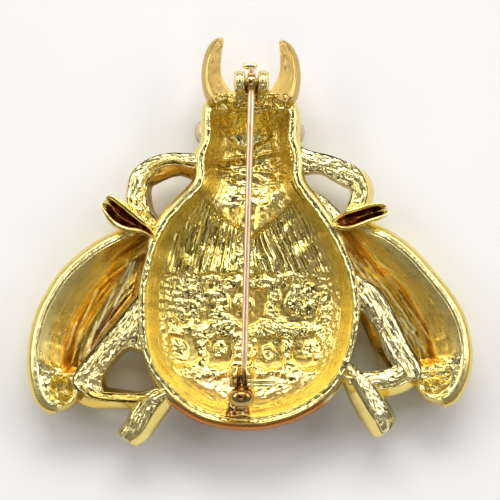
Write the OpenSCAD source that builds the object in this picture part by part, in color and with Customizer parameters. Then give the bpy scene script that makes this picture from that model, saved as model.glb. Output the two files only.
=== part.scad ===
// Insect brooch: a hollow gold-plated casting of a horned insect, lying on its front,
// with a hinged pin and a turning safety catch on its back.
// Back up is +Z, the head points to +Y. The origin is the middle of the footprint, on the surface.

/* [Body shell] */
// Width of the body across the abdomen's rim
body_w = 24.9; // [20:0.1:30]
// Length of the body from the brow to the tail
body_l = 36; // [30:0.1:42]
// Height of the back rim above the surface
rim_z = 6.4; // [5.8:0.1:7.2]
// Thickness of the cast wall
wall = 0.95; // [0.7:0.05:1.3]
// Width of the flat back rim
rim_w = 0.62; // [0.4:0.02:0.9]
// How far the outer wall bulges beyond the rim
flare = 0.65; // [0.3:0.05:0.9]
// Depth of the flat brow that carries the pin's hinge
brow_l = 1.2; // [1:0.05:1.6]

/* [Wings] */
// Width of one wing, square to the body
wing_w = 13.3; // [11:0.1:15]
// Length of one wing, along the body
wing_l = 18.9; // [16.5:0.1:21]
// Height of the wing's back rim above the surface
wing_rim_z = 5.7; // [5:0.1:6.2]
// How far a wing's outer wall bulges beyond its rim
wing_flare = 0.75; // [0.4:0.05:1]

/* [Limbs and horns] */
// Reach of a foreleg from the body's rim
foreleg_reach = 6.95; // [6:0.05:8]
// Thickness of a foreleg
foreleg_t = 2.7; // [2.2:0.05:3.2]
// Length of the curled front foot
foot_l = 6.4; // [5.6:0.1:7.2]
// Width of the curled front foot
foot_w = 2.5; // [2.1:0.05:2.8]
// Reach of a hind leg from the hip to the knee
hindleg_reach = 9.3; // [8.2:0.1:10.4]
// Thickness of a hind leg
hindleg_t = 2.7; // [2.2:0.05:3.2]
// Reach of the hind foot from the heel
toe_reach = 5.2; // [4.4:0.1:6]
// Length of a horn above the brow
horn_l = 6.6; // [5.6:0.1:7.6]
// Width of a horn at its root
horn_w = 2.65; // [2.2:0.05:3.1]

/* [Stones] */
// Diameter of a round stone on the abdomen
stone_d = 2.9; // [2.4:0.1:3.1]
// Diameter of an eye stone
eye_d = 3.1; // [2.7:0.1:3.4]
// Gap between a stone and its setting
stone_gap = 0.05; // [0.02:0.01:0.1]

/* [Pin and hinge] */
// Diameter of the pin's wire
wire_d = 0.78; // [0.7:0.02:0.82]
// Height of the pin's axis above the back rim
pin_rise = 1.95; // [1.9:0.05:2.2]
// Diameter of the hinge rivet
rivet_d = 0.8; // [0.6:0.02:0.9]
// Running clearance of the pin's knuckle on the rivet, all round
running_gap = 0.03; // [0.02:0.005:0.05]
// Diameter of the hinge's ears
ear_d = 2.54; // [2.4:0.02:2.8]
// Thickness of one ear
ear_t = 1.2; // [0.9:0.05:1.3]
// Width of the pin's knuckle between the ears
knuckle_w = 0.9; // [0.85:0.05:1]
// Gap between the knuckle and an ear
side_play = 0.22; // [0.1:0.02:0.3]

/* [Catch] */
// Outer diameter of the catch's ring
catch_d = 3.2; // [3:0.1:3.6]
// Diameter of the bore that the pin lies in
catch_bore_d = 1.4; // [1.3:0.05:1.5]
// Width of the mouth that the pin drops through
mouth_w = 1.2; // [1.1:0.05:1.3]
// Reach of the turning lever from the catch's axis
lever_reach = 3.6; // [3:0.1:4.2]
// Width of the turning lever, along the pin
lever_w = 0.92; // [0.8:0.02:1]

/* [Hidden] */

gold = "goldenrod";
curve_steps = 2;
round_fn = 48;
limb_fn = 10;
collar_w = 0.32;
collar_rise = 0.35;
crown_h = 0.42;
solder_gap = 0.02;
press_gap = 0.01;
pass_gap = 0.1;

// The body's outline, from the middle of the brow to the widest place.
// Columns: half-width as a share of half the body's width, distance from the brow as a share of its length.
HALF = 0;
ALONG = 1;
body_side = [
    [0, 0], [0.17, 0.002], [0.31, 0.01], [0.378, 0.037], [0.382, 0.075], [0.388, 0.113], [0.43, 0.155],
    [0.442, 0.205], [0.445, 0.25], [0.5, 0.28], [0.66, 0.333], [0.81, 0.394], [0.907, 0.462],
    [0.969, 0.535], [0.998, 0.61]
];
// Where the abdomen's round end begins, as a share of the body's length
abdomen_y = 0.654;
// Where the head's round end begins
head_y = 0.1;

// Depth of the front below the rim, along the body.
// Columns: distance from the brow as a share of the length, depth as a share of the depth at the stones.
body_depth = [
    [0, 0.93], [0.1, 1], [0.19, 0.86], [0.28, 0.97], [0.355, 0.88], [0.46, 0.95], [0.6, 1], [1, 1]
];
// How much of the stones' own height the head adds, so that it rests on the surface with them.
// Columns: distance from the brow as a share of the length, share of the stones' height.
head_depth = [[0, 0.7], [0.1, 1], [0.19, 0.4], [0.28, 0.3], [0.46, 0], [1, 0]];

// Skins across a bowl, from its lid to its lowest line.
// Columns: reach from the spine as a share, outward push as a share of the flare, depth as a share.
outer_skin = [[1, 0, 0], [1, 1, 0.16], [1, 0.9, 0.34], [0.93, 0.5, 0.58], [0.79, 0, 0.78], [0.58, 0, 0.91], [0.32, 0, 0.98], [0.1, 0, 1]];
inner_skin = [[1, 0, 0], [0.97, 0, 0.3], [0.9, 0, 0.58], [0.79, 0, 0.78], [0.6, 0, 0.9], [0.32, 0, 0.975], [0.1, 0, 1]];
wing_inner_skin = [[1, 0, 0], [0.97, 0, 0.2], [0.78, 0, 0.42], [0.6, 0, 0.66], [0.38, 0, 0.9], [0.12, 0, 1]];

// One wing's two edges and its valley, all from the shoulder to the tip.
// Columns: distance out as a share of the wing's width, distance back as a share of its length.
wing_front_edge = [
    [0, 0], [0.14, -0.035], [0.3, -0.015], [0.42, 0.037], [0.54, 0.1], [0.665, 0.185], [0.785, 0.3],
    [0.885, 0.42], [0.955, 0.54], [0.995, 0.65], [1, 0.755], [0.975, 0.85], [0.925, 0.925], [0.86, 0.965]
];
wing_back_edge = [
    [0, 0], [0.005, 0.1], [0.04, 0.21], [0.09, 0.32], [0.2, 0.435], [0.335, 0.56], [0.43, 0.67],
    [0.49, 0.755], [0.55, 0.83], [0.62, 0.895], [0.69, 0.935], [0.755, 0.957], [0.81, 0.965], [0.86, 0.965]
];
wing_valley = [[0.19, 0.15], [0.44, 0.48], [0.68, 0.7]];
wing_crest = [[0.3, 0.17], [0.58, 0.45], [0.78, 0.76]];
wing_root_y = 0.422;
wing_root_half = 0.848;

// How each side stands.
// Columns: side, wing's shift along the body as a share of its length, where the foreleg, the front foot,
// the hip and the heel meet the rim as shares of the body's length, size of the front foot as a share.
SIDE = 0;
WING_SHIFT = 1;
FORELEG_Y = 2;
FOOT_Y = 3;
HIP_Y = 4;
HEEL_Y = 5;
FOOT_SIZE = 6;
LEFT = [-1, -0.012, 0.2, 0.432, 0.69, 0.905, 1];
RIGHT = [1, 0.02, 0.172, 0.405, 0.61, 0.862, 0.86];

// Limb tables, from the rim outwards.
// Columns: out and back as shares of the limb's reach, thickness as a share of the limb's.
foreleg_left = [
    [0, 0, 1.05], [0.3, -0.01, 1], [0.57, 0.03, 0.97], [0.84, 0.14, 0.98], [0.965, 0.364, 0.97],
    [0.918, 0.6, 0.87], [0.76, 0.84, 0.75], [0.585, 1.01, 0.7]
];
foreleg_right = [
    [0, 0, 0.72], [0.35, 0.087, 0.76], [0.665, 0.206, 0.82], [0.9, 0.325, 0.86], [1.03, 0.443, 0.86],
    [1.01, 0.65, 0.8], [0.934, 0.84, 0.75], [0.823, 1, 0.7]
];
thigh_right = [[0.127, 0.49, 0.45], [0.38, 0.76, 0.57], [0.665, 1.06, 0.62]];
femur_left = [[0, 0, 1.33], [0.166, 0.13, 1.1], [0.33, 0.33, 0.96], [0.5, 0.545, 1], [0.58, 0.757, 1.19]];
femur_right = [[0, -0.05, 1], [0.166, -0.047, 1.1], [0.3, 0.284, 1.15], [0.485, 0.58, 1.04], [0.568, 0.864, 1.1]];
// Columns: share of the way from the knee to the heel, drop below that line, thickness.
shin_left = [[0.32, 0.118, 0.78], [0.66, 0.095, 0.8]];
shin_right = [[0.32, 0.083, 0.78], [0.66, 0.047, 0.8]];
heel_t = 0.85;
toe_left = [[0.02, 0.02, 0.85], [0.23, 0.17, 1], [0.49, 0.51, 1.1], [0.72, 0.845, 1.13]];
toe_right = [[0.02, 0.02, 0.85], [0.19, 0.15, 1], [0.49, 0.53, 1.15], [0.74, 0.91, 1.08]];

// One horn, from its root to its tip.
// Columns: distance from the axis as a share of half the body's width, height as a share of the horn's
// length, width as a share of the horn's.
horn = [[0.26, -0.04, 0.7], [0.305, 0.13, 0.98], [0.338, 0.3, 0.92], [0.347, 0.46, 0.8], [0.34, 0.62, 0.66], [0.32, 0.78, 0.46], [0.29, 0.9, 0.28], [0.268, 0.97, 0.14]];

// The stones' places on the abdomen.
// Columns: half-width share, distance from the brow as a share of the length, size as a share of the stones'.
stone_places = [
    [-0.52, 0.625, 1.3], [-0.035, 0.6375, 1.3], [0.42, 0.625, 1.3],
    [-0.6, 0.775, 1], [-0.275, 0.78, 1], [0.155, 0.78, 1], [0.515, 0.775, 1]
];

brow_y = 15.95 - (body_l - 36) / 2;
pin_z = rim_z + pin_rise;
half_w = body_w / 2;

function mix(a, b, t) = a + (b - a) * t;
function clamp(v, low, high) = max(low, min(high, v));
function unit(v) = v / max(norm(v), 0.0001);

// A smooth line through points, with the given steps between each two.
function spline_point(a, b, c, d, t) =
    0.5 * (2 * b + (c - a) * t + (2 * a - 5 * b + 4 * c - d) * t * t + (3 * b - a - 3 * c + d) * t * t * t);
function smooth(points, steps) = let (n = len(points)) concat(
    [for (i = [0 : n - 2], s = [0 : steps - 1]) spline_point(
        points[max(i - 1, 0)], points[i], points[i + 1], points[min(i + 2, n - 1)], s / steps)],
    [points[n - 1]]
);

// A value read from a table by its first column, eased between rows.
function ease(t) = t * t * (3 - 2 * t);
function read(table, key, row = 0) =
    key <= table[0][0] ? table[0][1] :
    row >= len(table) - 1 ? table[len(table) - 1][1] :
    key > table[row + 1][0] ? read(table, key, row + 1) :
    mix(table[row][1], table[row + 1][1], ease((key - table[row][0]) / (table[row + 1][0] - table[row][0])));

// Body places in the brooch's own frame.
function body_point(p) = [p[HALF] * half_w, brow_y - p[ALONG] * body_l];
function along(y) = (brow_y - y) / body_l;
abdomen_end = [for (a = [0 : 15 : 90]) [cos(a), mix(abdomen_y, 1, sin(a))]];
half_outline = [for (p = smooth(concat(body_side, abdomen_end), curve_steps)) body_point(p)];
half_count = len(half_outline);
body_loop = concat(
    half_outline,
    [for (i = [half_count - 2 : -1 : 1]) [-half_outline[i].x, half_outline[i].y]]
);
function spine_of(loop, low, high) = [for (p = loop) [0, clamp(p.y, low, high)]];
body_spine = spine_of(body_loop, brow_y - abdomen_y * body_l, brow_y - head_y * body_l);

// The rim's half-width at a distance along the body, and the rim's own place there.
function half_at(y, i = 0) =
    i >= half_count - 2 ? half_outline[half_count - 2].x :
    half_outline[i + 1].y <= y ? mix(half_outline[i].x, half_outline[i + 1].x,
        clamp((half_outline[i].y - y) / max(half_outline[i].y - half_outline[i + 1].y, 0.001), 0, 1)) :
    half_at(y, i + 1);
function rim_point(side, share) = let (y = brow_y - share * body_l) [side * half_at(y), y];

// Outward direction at each point of a closed loop that runs clockwise seen from +Z.
function outward(loop) = let (n = len(loop)) [for (i = [0 : n - 1])
    let (d = loop[(i + 1) % n] - loop[(i + n - 1) % n]) unit([-d.y, d.x])];

// A closed bowl: a flat lid, rings that follow a skin table, and a strip along the lowest line.
module bowl(loop, spine, depths, skin, push, lid_z, lid_rise = 0) {
    n = len(loop);
    out = outward(loop);
    lid = lid_rise > 0 ? [for (i = [0 : n - 1]) [loop[i].x, loop[i].y, lid_z + lid_rise]] : [];
    rings = [for (row = skin, i = [0 : n - 1])
        let (p = spine[i] + (loop[i] - spine[i]) * row[0] + out[i] * row[1] * push)
        [p.x, p.y, lid_z - depths[i] * row[2]]];
    count = len(skin) + (lid_rise > 0 ? 1 : 0);
    last = (count - 1) * n;
    faces = concat(
        [[for (i = [0 : n - 1]) i]],
        [for (r = [0 : count - 2], i = [0 : n - 1]) [r * n + i, (r + 1) * n + i, (r + 1) * n + (i + 1) % n]],
        [for (r = [0 : count - 2], i = [0 : n - 1]) [r * n + i, (r + 1) * n + (i + 1) % n, r * n + (i + 1) % n]],
        [for (i = [1 : n / 2 - 1]) [last + i, last + n - i, last + i + 1]],
        [for (i = [0 : n / 2 - 2]) [last + i + 1, last + (n - i) % n, last + n - i - 1]]
    );
    polyhedron(points = concat(lid, rings), faces = faces, convexity = 6);
}

// The wall at the brow is as deep as the hinge needs, and elsewhere as wide as the rim.
function cavity_loop() = let (out = outward(body_loop)) [for (i = [0 : len(body_loop) - 1])
    let (p = body_loop[i] - out[i] * rim_w, top = brow_y - brow_l) [p.x, min(p.y, top)]];
stone_rise = collar_rise + crown_h;
function front_depth(y) = (rim_z - stone_rise) * read(body_depth, along(y)) + stone_rise * read(head_depth, along(y));
body_depths = [for (p = body_spine) front_depth(p.y)];

module body_solid() bowl(body_loop, body_spine, body_depths, outer_skin, flare, rim_z);
module body_hollow() bowl(cavity_loop(), body_spine, [for (d = body_depths) d - wall], inner_skin, 0, rim_z, 3);

// Wings.
wing_root = [wing_root_half * half_w, brow_y - wing_root_y * body_l];
function wing_point(p) = wing_root + [p.x * wing_w, -p.y * wing_l];
function wing_edge(edge) = [for (p = smooth(edge, 1)) wing_point(p)];
function wing_loop() = let (a = wing_edge(wing_front_edge), b = wing_edge(wing_back_edge), n = len(a)) concat(
    a, [for (i = [n - 2 : -1 : 1]) b[i]]);
function wing_line(line) = let (n = len(wing_front_edge), path = [for (p = line) wing_point(p)]) [for (i = [0 : 2 * n - 3])
    let (k = i < n ? i : 2 * n - 2 - i, t = clamp((k / (n - 1) - 0.12) / 0.76, 0, 1) * (len(path) - 1), s = min(floor(t), len(path) - 2))
    mix(path[s], path[s + 1], t - s)];
function inset(loop, by) = let (out = outward(loop)) [for (i = [0 : len(loop) - 1]) loop[i] - out[i] * by];

module wing_solid() {
    loop = wing_loop();
    bowl(loop, wing_line(wing_crest), [for (p = loop) wing_rim_z], outer_skin, wing_flare, wing_rim_z);
}
module wing_hollow() {
    loop = inset(wing_loop(), rim_w);
    bowl(loop, wing_line(wing_valley), [for (p = loop) wing_rim_z - wall - 0.15], wing_inner_skin, 0, wing_rim_z, 3);
}
// The small pocket behind the knee, near the wing's tip.
module wing_pocket() hull() for (p = [[0.76, 0.87], [0.86, 0.9]])
    translate([wing_point(p).x, wing_point(p).y, wing_rim_z]) scale([1, 1, 1.1]) sphere(d = wing_w * 0.085, $fn = limb_fn);

// Limbs: rounded knobs joined two by two. A limb's back lies a little below the rim.
limb_flat = 1.15;
limb_drop = 0.25;
module knob(p, d) translate([p.x, p.y, rim_z - limb_drop - d / 2 * limb_flat]) scale([1, 1, limb_flat]) sphere(d = d, $fn = limb_fn);
module chain(points, sizes) for (i = [0 : len(points) - 2]) hull() {
    knob(points[i], sizes[i]);
    knob(points[i + 1], sizes[i + 1]);
}
function limb_points(root, side, table, reach) = [for (p = table) root + [side * p[0], -p[1]] * reach];

module foreleg(s, table) {
    root = rim_point(s[SIDE], s[FORELEG_Y]);
    chain(limb_points(root, s[SIDE], table, foreleg_reach), [for (p = table) p[2] * foreleg_t]);
}
module hindleg(s, table, shin, toes) {
    hip = rim_point(s[SIDE], s[HIP_Y]);
    heel = rim_point(s[SIDE], s[HEEL_Y]);
    upper = limb_points(hip, s[SIDE], table, hindleg_reach);
    knee = upper[len(upper) - 1];
    lower = [for (p = shin) mix(knee, heel, p[0]) - [0, p[1] * hindleg_reach]];
    shares = concat([for (p = table) p[2]], [for (p = shin) p[2]], [heel_t]);
    chain(concat(upper, lower, [heel]), [for (share = shares) share * hindleg_t]);
    chain(limb_points(heel, s[SIDE], toes, toe_reach), [for (p = toes) p[2] * hindleg_t]);
}

// The curled front foot: a trough, pointed at the body and notched at its far end.
foot_rise = 0.85;
foot_wall = 0.32;
// Columns: distance from the body's rim as a share of the length, width as a share.
foot_rows = [[0.02, 0.3], [0.3, 0.85], [0.6, 1], [0.88, 0.85]];
function foot_direction(s) = s[SIDE] < 0 ? [-0.795, 0.606] : [0.9, 0.44];
function foot_place(s, share) = rim_point(s[SIDE], s[FOOT_Y]) + unit(foot_direction(s)) * share * foot_l * s[FOOT_SIZE];
module foot_form(s, thin, lift) {
    w = foot_w * s[FOOT_SIZE];
    for (i = [0 : len(foot_rows) - 2]) hull() for (row = [foot_rows[i], foot_rows[i + 1]]) {
        p = foot_place(s, row[0]);
        d = row[1] * w - thin;
        translate([p.x, p.y, rim_z + foot_rise - w / 2 + lift]) scale([1, 1, 1.1]) sphere(d = max(d, 0.1), $fn = limb_fn);
    }
}
module foot_notch(s) {
    p = foot_place(s, 0.88 + foot_w / foot_l / 2);
    translate([p.x, p.y, rim_z - 0.2]) cylinder(d = foot_w * 0.42, h = 3, $fn = 8);
}

module one_horn() {
    points = [for (p = horn) [p[0] * half_w, brow_y + p[1] * horn_l]];
    for (i = [0 : len(horn) - 2]) hull() for (k = [i, i + 1])
        translate([points[k].x, points[k].y, rim_z - 0.55 - horn_w * 0.24])
            scale([1, 1, mix(0.5, 1, k / (len(horn) - 1)) ]) sphere(d = horn[k][2] * horn_w, $fn = limb_fn);
}

// Places on the body's front skin: depth and the way that it faces.
function skin_share(reach, row = 0) =
    row >= len(outer_skin) - 1 ? 1 :
    reach >= outer_skin[row + 1][0] ? mix(outer_skin[row + 1][2], outer_skin[row][2],
        clamp((reach - outer_skin[row + 1][0]) / max(outer_skin[row][0] - outer_skin[row + 1][0], 0.001), 0, 1)) :
    skin_share(reach, row + 1);
function front_z(x, y) = rim_z - front_depth(y) * skin_share(abs(x) / half_at(y));
function front_normal(x, y, d = 0.6) = unit([
    (front_z(x + d, y) - front_z(x - d, y)) / (2 * d), (front_z(x, y + d) - front_z(x, y - d)) / (2 * d), -1]);
// Turns a child's -Z to face the given way.
module facing(n) rotate([0, acos(clamp(-n.z, -1, 1)), atan2(-n.y, -n.x) + 180]) rotate([0, 0, -atan2(-n.y, -n.x) - 180]) children();

function stone_spot(i) = let (p = body_point(stone_places[i])) [p.x, p.y, front_z(p.x, p.y)];
module at_stone(i) translate(stone_spot(i)) rotate(stone_turn(i)) children();
function stone_turn(i) = let (s = stone_spot(i), n = front_normal(s.x, s.y)) [-asin(clamp(-n.y, -1, 1)), asin(clamp(-n.x, -1, 1)), 0];

// Girdle and table stand in front of the shell, so the stone's own -Z is its face.
STONE_SIZE = 2;
function stone_width(i) = stone_d * stone_places[i][STONE_SIZE];
pavilion_h = stone_d * 0.3;
module stone_setting(i) at_stone(i) translate([0, 0, -collar_rise])
    cylinder(d = stone_width(i) + 2 * collar_w, h = collar_rise + wall, $fn = 16);
module stone_pit(i) at_stone(i) {
    translate([0, 0, -1 - collar_rise]) cylinder(d = stone_width(i) + 2 * stone_gap, h = 1, $fn = 16);
    translate([0, 0, -collar_rise - 0.001])
        cylinder(d1 = stone_width(i) + 2 * stone_gap, d2 = stone_gap, h = pavilion_h + stone_gap, $fn = 16);
}
module stone(i) color("mintcream") at_stone(i) translate([0, 0, -collar_rise]) hull() {
    translate([0, 0, -crown_h]) cylinder(d = stone_width(i) * 0.58, h = 0.01, $fn = 8);
    rotate([0, 0, 11.25]) translate([0, 0, -0.12]) cylinder(d = stone_width(i), h = 0.08, $fn = 16);
    translate([0, 0, pavilion_h - 0.01 - stone_gap]) cylinder(d = stone_gap, h = 0.01, $fn = 8);
}
// Raised square frame behind each stone, on the hollow's floor.
frame_side = 1.2;
frame_w = 0.5;
frame_rise = 0.25;
module seat_frame(i) at_stone(i) difference() {
    side = stone_width(i) * frame_side;
    translate([0, 0, wall + frame_rise / 2 - 0.2]) cube([side, side, frame_rise + 0.4], center = true);
    translate([0, 0, wall / 2]) cylinder(d = side - 2 * frame_w, h = wall + frame_rise, $fn = 12);
}

// Eyes: bulged cups on the head's sides, each holding a domed stone.
eye_y = 0.098;
eye_tilt = 58;
eye_z = rim_z * 0.5;
eye_inset = 0.35;
module at_eye(side) {
    p = rim_point(side, eye_y);
    translate([p.x - side * eye_inset, p.y, eye_z]) rotate([0, side * (180 - eye_tilt), 0]) children();
}
module eye_cup(side) at_eye(side) hull() {
    translate([0, 0, 0.2]) cylinder(d = eye_d + 0.7, h = 0.25, $fn = 20);
    translate([0, 0, -1.5]) cylinder(d = eye_d - 0.6, h = 0.1, $fn = 20);
}
module eye_seat(side) at_eye(side) translate([0, 0, 0.1]) cylinder(d = eye_d + 2 * stone_gap, h = 2, $fn = 20);
module eye(side) color("bisque") at_eye(side) translate([0, 0, 0.1 + stone_gap]) intersection() {
    translate([0, 0, -0.55]) sphere(d = eye_d + 0.35, $fn = round_fn);
    cylinder(d = eye_d, h = eye_d, $fn = round_fn);
}

// The pad that carries the catch, cast on the tail's wall, with its top in the rim's plane.
catch_x = -0.92;
catch_share = 0.894;
pad_w = 2.3;
pad_root_w = 3.1;
pad_y = brow_y - body_l + rim_w * 0.5;
pad_l = 1.7;
module catch_pad() hull() {
    translate([catch_x - pad_root_w / 2, pad_y, rim_z - 0.7]) cube([pad_root_w, 0.2, 0.7]);
    translate([catch_x - pad_w / 2, pad_y, rim_z - 0.7]) cube([pad_w, pad_l, 0.7]);
    translate([catch_x - pad_w / 2, pad_y, rim_z - 2.6]) cube([pad_w, pad_l * 0.3, 0.1]);
}

module casting() color(gold) {
    difference() {
        union() {
            body_solid();
            for (s = [LEFT, RIGHT]) {
                scale([s[SIDE], 1, 1]) translate([0, s[WING_SHIFT] * wing_l, 0]) wing_solid();
                scale([s[SIDE], 1, 1]) one_horn();
                foreleg(s, s[SIDE] < 0 ? foreleg_left : foreleg_right);
                foot_form(s, 0, 0);
                eye_cup(s[SIDE]);
            }
            foreleg(RIGHT, thigh_right);
            for (i = [0 : len(stone_places) - 1]) stone_setting(i);
        }
        for (s = [LEFT, RIGHT]) {
            scale([s[SIDE], 1, 1]) translate([0, s[WING_SHIFT] * wing_l, 0]) {
                wing_hollow();
                wing_pocket();
            }
            foot_form(s, 2 * foot_wall, 0.4);
            foot_notch(s);
            eye_seat(s[SIDE]);
        }
        body_hollow();
        for (i = [0 : len(stone_places) - 1]) stone_pit(i);
    }
    difference() {
        union() {
            hindleg(LEFT, femur_left, shin_left, toe_left);
            hindleg(RIGHT, femur_right, shin_right, toe_right);
        }
        body_hollow();
    }
    for (i = [0 : len(stone_places) - 1]) seat_frame(i);
    catch_pad();
}

// Hinge: two round ears on a base that is soldered to the brow.
hinge_x = 0.17;
hinge_y = brow_y + 1.5;
ear_gap = knuckle_w + 2 * side_play;
base_t = 0.45;
base_back = brow_l;
ear_front = 0.15;
module along_x(x, y, z) translate([x, y, z]) rotate([0, 90, 0]) children();
function ear_x(side) = hinge_x + side * (ear_gap + ear_t) / 2;

module hinge_bracket() color(gold) difference() {
    union() {
        for (side = [-1, 1]) {
            along_x(ear_x(side), hinge_y, pin_z) cylinder(d = ear_d, h = ear_t, center = true, $fn = round_fn);
            translate([ear_x(side) - ear_t / 2, hinge_y - ear_d / 2, rim_z + solder_gap])
                cube([ear_t, ear_d / 2 + ear_front, pin_z - rim_z - solder_gap]);
        }
        translate([hinge_x - ear_gap / 2 - ear_t, brow_y - base_back, rim_z + solder_gap])
            cube([ear_gap + 2 * ear_t, hinge_y + ear_front - brow_y + base_back, base_t]);
    }
    along_x(hinge_x, hinge_y, pin_z) cylinder(d = rivet_d + 2 * press_gap, h = ear_gap + 3 * ear_t, center = true, $fn = round_fn);
}

rivet_head_t = 0.1;
rivet_head_d = rivet_d + 0.4;
module hinge_rivet() color("tan") along_x(hinge_x, hinge_y, pin_z) {
    cylinder(d = rivet_d, h = ear_gap + 2 * ear_t + 2 * press_gap + 0.1, center = true, $fn = round_fn);
    for (side = [-1, 1]) translate([0, 0, side * (ear_gap / 2 + ear_t + press_gap + rivet_head_t / 2)])
        cylinder(d = rivet_head_d, h = rivet_head_t, center = true, $fn = round_fn);
}

// Pin: a knuckle on the rivet, a straight wire to the catch and a short flat tail.
knuckle_d = rivet_d + 1.1;
point_l = 3.4;
point_d = 0.16;
catch_y = brow_y - catch_share * body_l;
pin_end_y = catch_y + 0.45;
pin_end_x = catch_x + 0.22;
pin_lean = atan2(pin_end_x - hinge_x, hinge_y - pin_end_y);
pin_l = norm([pin_end_x - hinge_x, hinge_y - pin_end_y]);
tail_start = ear_d / 2 + pass_gap;
tail_l = 0.75;
tail_w = 1.65;
tail_t = 0.6;
neck_w = knuckle_w - 0.12;
wire_start = (knuckle_d + rivet_d) / 4 - 0.06;
module pin_stem() color("rosybrown") difference() {
    union() {
        along_x(hinge_x, hinge_y, pin_z) cylinder(d = knuckle_d, h = knuckle_w, center = true, $fn = round_fn);
        translate([hinge_x, hinge_y, pin_z]) rotate([0, 0, pin_lean]) rotate([90, 0, 0]) {
            translate([0, 0, wire_start]) cylinder(d = wire_d, h = pin_l - point_l - wire_start, $fn = round_fn);
            translate([0, 0, pin_l - point_l]) cylinder(d1 = wire_d, d2 = point_d, h = point_l, $fn = round_fn);
        }
        translate([hinge_x - neck_w / 2, hinge_y + wire_start, pin_z - tail_t / 2])
            cube([neck_w, tail_start + tail_l / 2 - wire_start, tail_t]);
        translate([hinge_x - tail_w / 2 + tail_l / 2, hinge_y + tail_start, pin_z - tail_t / 2]) cube([tail_w - tail_l, tail_l, tail_t]);
        for (side = [-1, 1]) translate([hinge_x + side * (tail_w - tail_l) / 2, hinge_y + tail_start + tail_l / 2, pin_z - tail_t / 2])
            cylinder(d = tail_l, h = tail_t, $fn = round_fn);
    }
    along_x(hinge_x, hinge_y, pin_z) cylinder(d = rivet_d + 2 * running_gap, h = 3 * knuckle_w, center = true, $fn = round_fn);
}

// Catch: a slotted ring and a round end on a bar, soldered to the pad.
journal_d = catch_bore_d + 0.66;
ring_w = 1.2;
rotor_room = lever_w + 2 * pass_gap;
ball_d = 2.9;
ball_cut = 0.85;
catch_front_y = catch_y + rotor_room + ring_w;
socket_l = 0.4;
rotor_ring_d = catch_d - 0.45;
bar_t = 0.48;
bar_w = 1.5;
module along_y(y) translate([catch_x, y, pin_z]) rotate([-90, 0, 0]) children();
module mouth(y, length) translate([catch_x - mouth_w / 2, y, pin_z]) cube([mouth_w, length, catch_d]);

module catch_housing() color(gold) difference() {
    union() {
        along_y(catch_y + rotor_room) cylinder(d = catch_d, h = ring_w, $fn = round_fn);
        difference() {
            along_y(catch_y - ball_cut) sphere(d = ball_d, $fn = round_fn);
            translate([catch_x - ball_d, catch_y, pin_z - ball_d]) cube([2 * ball_d, ball_d, 2 * ball_d]);
        }
        translate([catch_x - bar_w / 2, catch_y - ball_cut - 1.5, rim_z + solder_gap])
            cube([bar_w, catch_front_y - catch_y + ball_cut + 1.5, bar_t]);
        translate([catch_x, catch_y - ball_cut - 0.5, rim_z + solder_gap]) cylinder(d = 2, h = pin_rise - 1, $fn = round_fn);
    }
    along_y(catch_y - socket_l) cylinder(d = journal_d + 2 * running_gap, h = socket_l + rotor_room + ring_w + 1, $fn = round_fn);
    mouth(catch_y + rotor_room - 0.01, ring_w + 1);
}

module catch_rotor() color("gold") difference() {
    union() {
        along_y(catch_y - socket_l + pass_gap) cylinder(d = journal_d, h = socket_l + rotor_room + ring_w - pass_gap, $fn = round_fn);
        along_y(catch_y + pass_gap) cylinder(d = rotor_ring_d, h = lever_w, $fn = round_fn);
        for (y = [0.25, 0.75]) translate([catch_x + journal_d / 2, catch_y + pass_gap + y * lever_w, pin_z]) rotate([0, 90, 0])
            cylinder(d = lever_w * 0.42, h = lever_reach - journal_d / 2, $fn = round_fn);
        translate([catch_x + journal_d / 2, catch_y + pass_gap + lever_w * 0.1, pin_z - 0.12]) cube([lever_reach - journal_d / 2 - 0.05, lever_w * 0.8, 0.24]);
    }
    along_y(catch_y - socket_l) cylinder(d = catch_bore_d, h = socket_l + rotor_room + ring_w + 1, $fn = round_fn);
    mouth(catch_y - socket_l, socket_l + rotor_room + ring_w + 1);
}

casting();
eye(-1);  // eye_left
eye(1);  // eye_right
stone(0);  // stone_1
stone(1);  // stone_2
stone(2);  // stone_3
stone(3);  // stone_4
stone(4);  // stone_5
stone(5);  // stone_6
stone(6);  // stone_7
hinge_bracket();
hinge_rivet();
pin_stem();
catch_housing();
catch_rotor();
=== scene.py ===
"""Insect brooch, seen from its pinned back.

A hollow gold-plated casting lies on its front: body shell, wings, horns, legs, with a hinged pin
and a turning catch. Lengths in the tables are millimetres: x to the right, y to the head, z up.
"""

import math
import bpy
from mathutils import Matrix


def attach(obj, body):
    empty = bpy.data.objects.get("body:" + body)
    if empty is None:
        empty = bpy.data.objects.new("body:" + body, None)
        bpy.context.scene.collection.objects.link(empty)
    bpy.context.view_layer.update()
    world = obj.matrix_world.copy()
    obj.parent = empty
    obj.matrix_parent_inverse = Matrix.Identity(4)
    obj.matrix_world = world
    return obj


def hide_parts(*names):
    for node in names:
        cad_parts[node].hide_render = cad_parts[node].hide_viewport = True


bl_info = {
    "name": "Insect brooch",
    "version": (1, 0, 0),
    "blender": (4, 5, 0),
    "location": "3D View > Sidebar > Brooch",
    "description": "Models a hollow cast insect brooch with its hinged pin and turning catch",
    "category": "Add Mesh",
}

import bpy
import numpy as np

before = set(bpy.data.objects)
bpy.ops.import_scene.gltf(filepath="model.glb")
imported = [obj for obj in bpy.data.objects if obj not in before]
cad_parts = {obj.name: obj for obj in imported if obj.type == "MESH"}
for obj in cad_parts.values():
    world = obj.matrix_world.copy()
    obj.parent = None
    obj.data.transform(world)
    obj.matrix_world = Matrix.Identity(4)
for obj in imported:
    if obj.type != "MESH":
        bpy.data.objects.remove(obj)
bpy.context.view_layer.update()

MM = 0.001
BROW_Y = 15.95
HOLLOW_END_Y = 14.75
BODY_LENGTH = 36
STONE_RISE = 0.77
HINGE = (0.17, 17.45)
CATCH_X = -0.92


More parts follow.
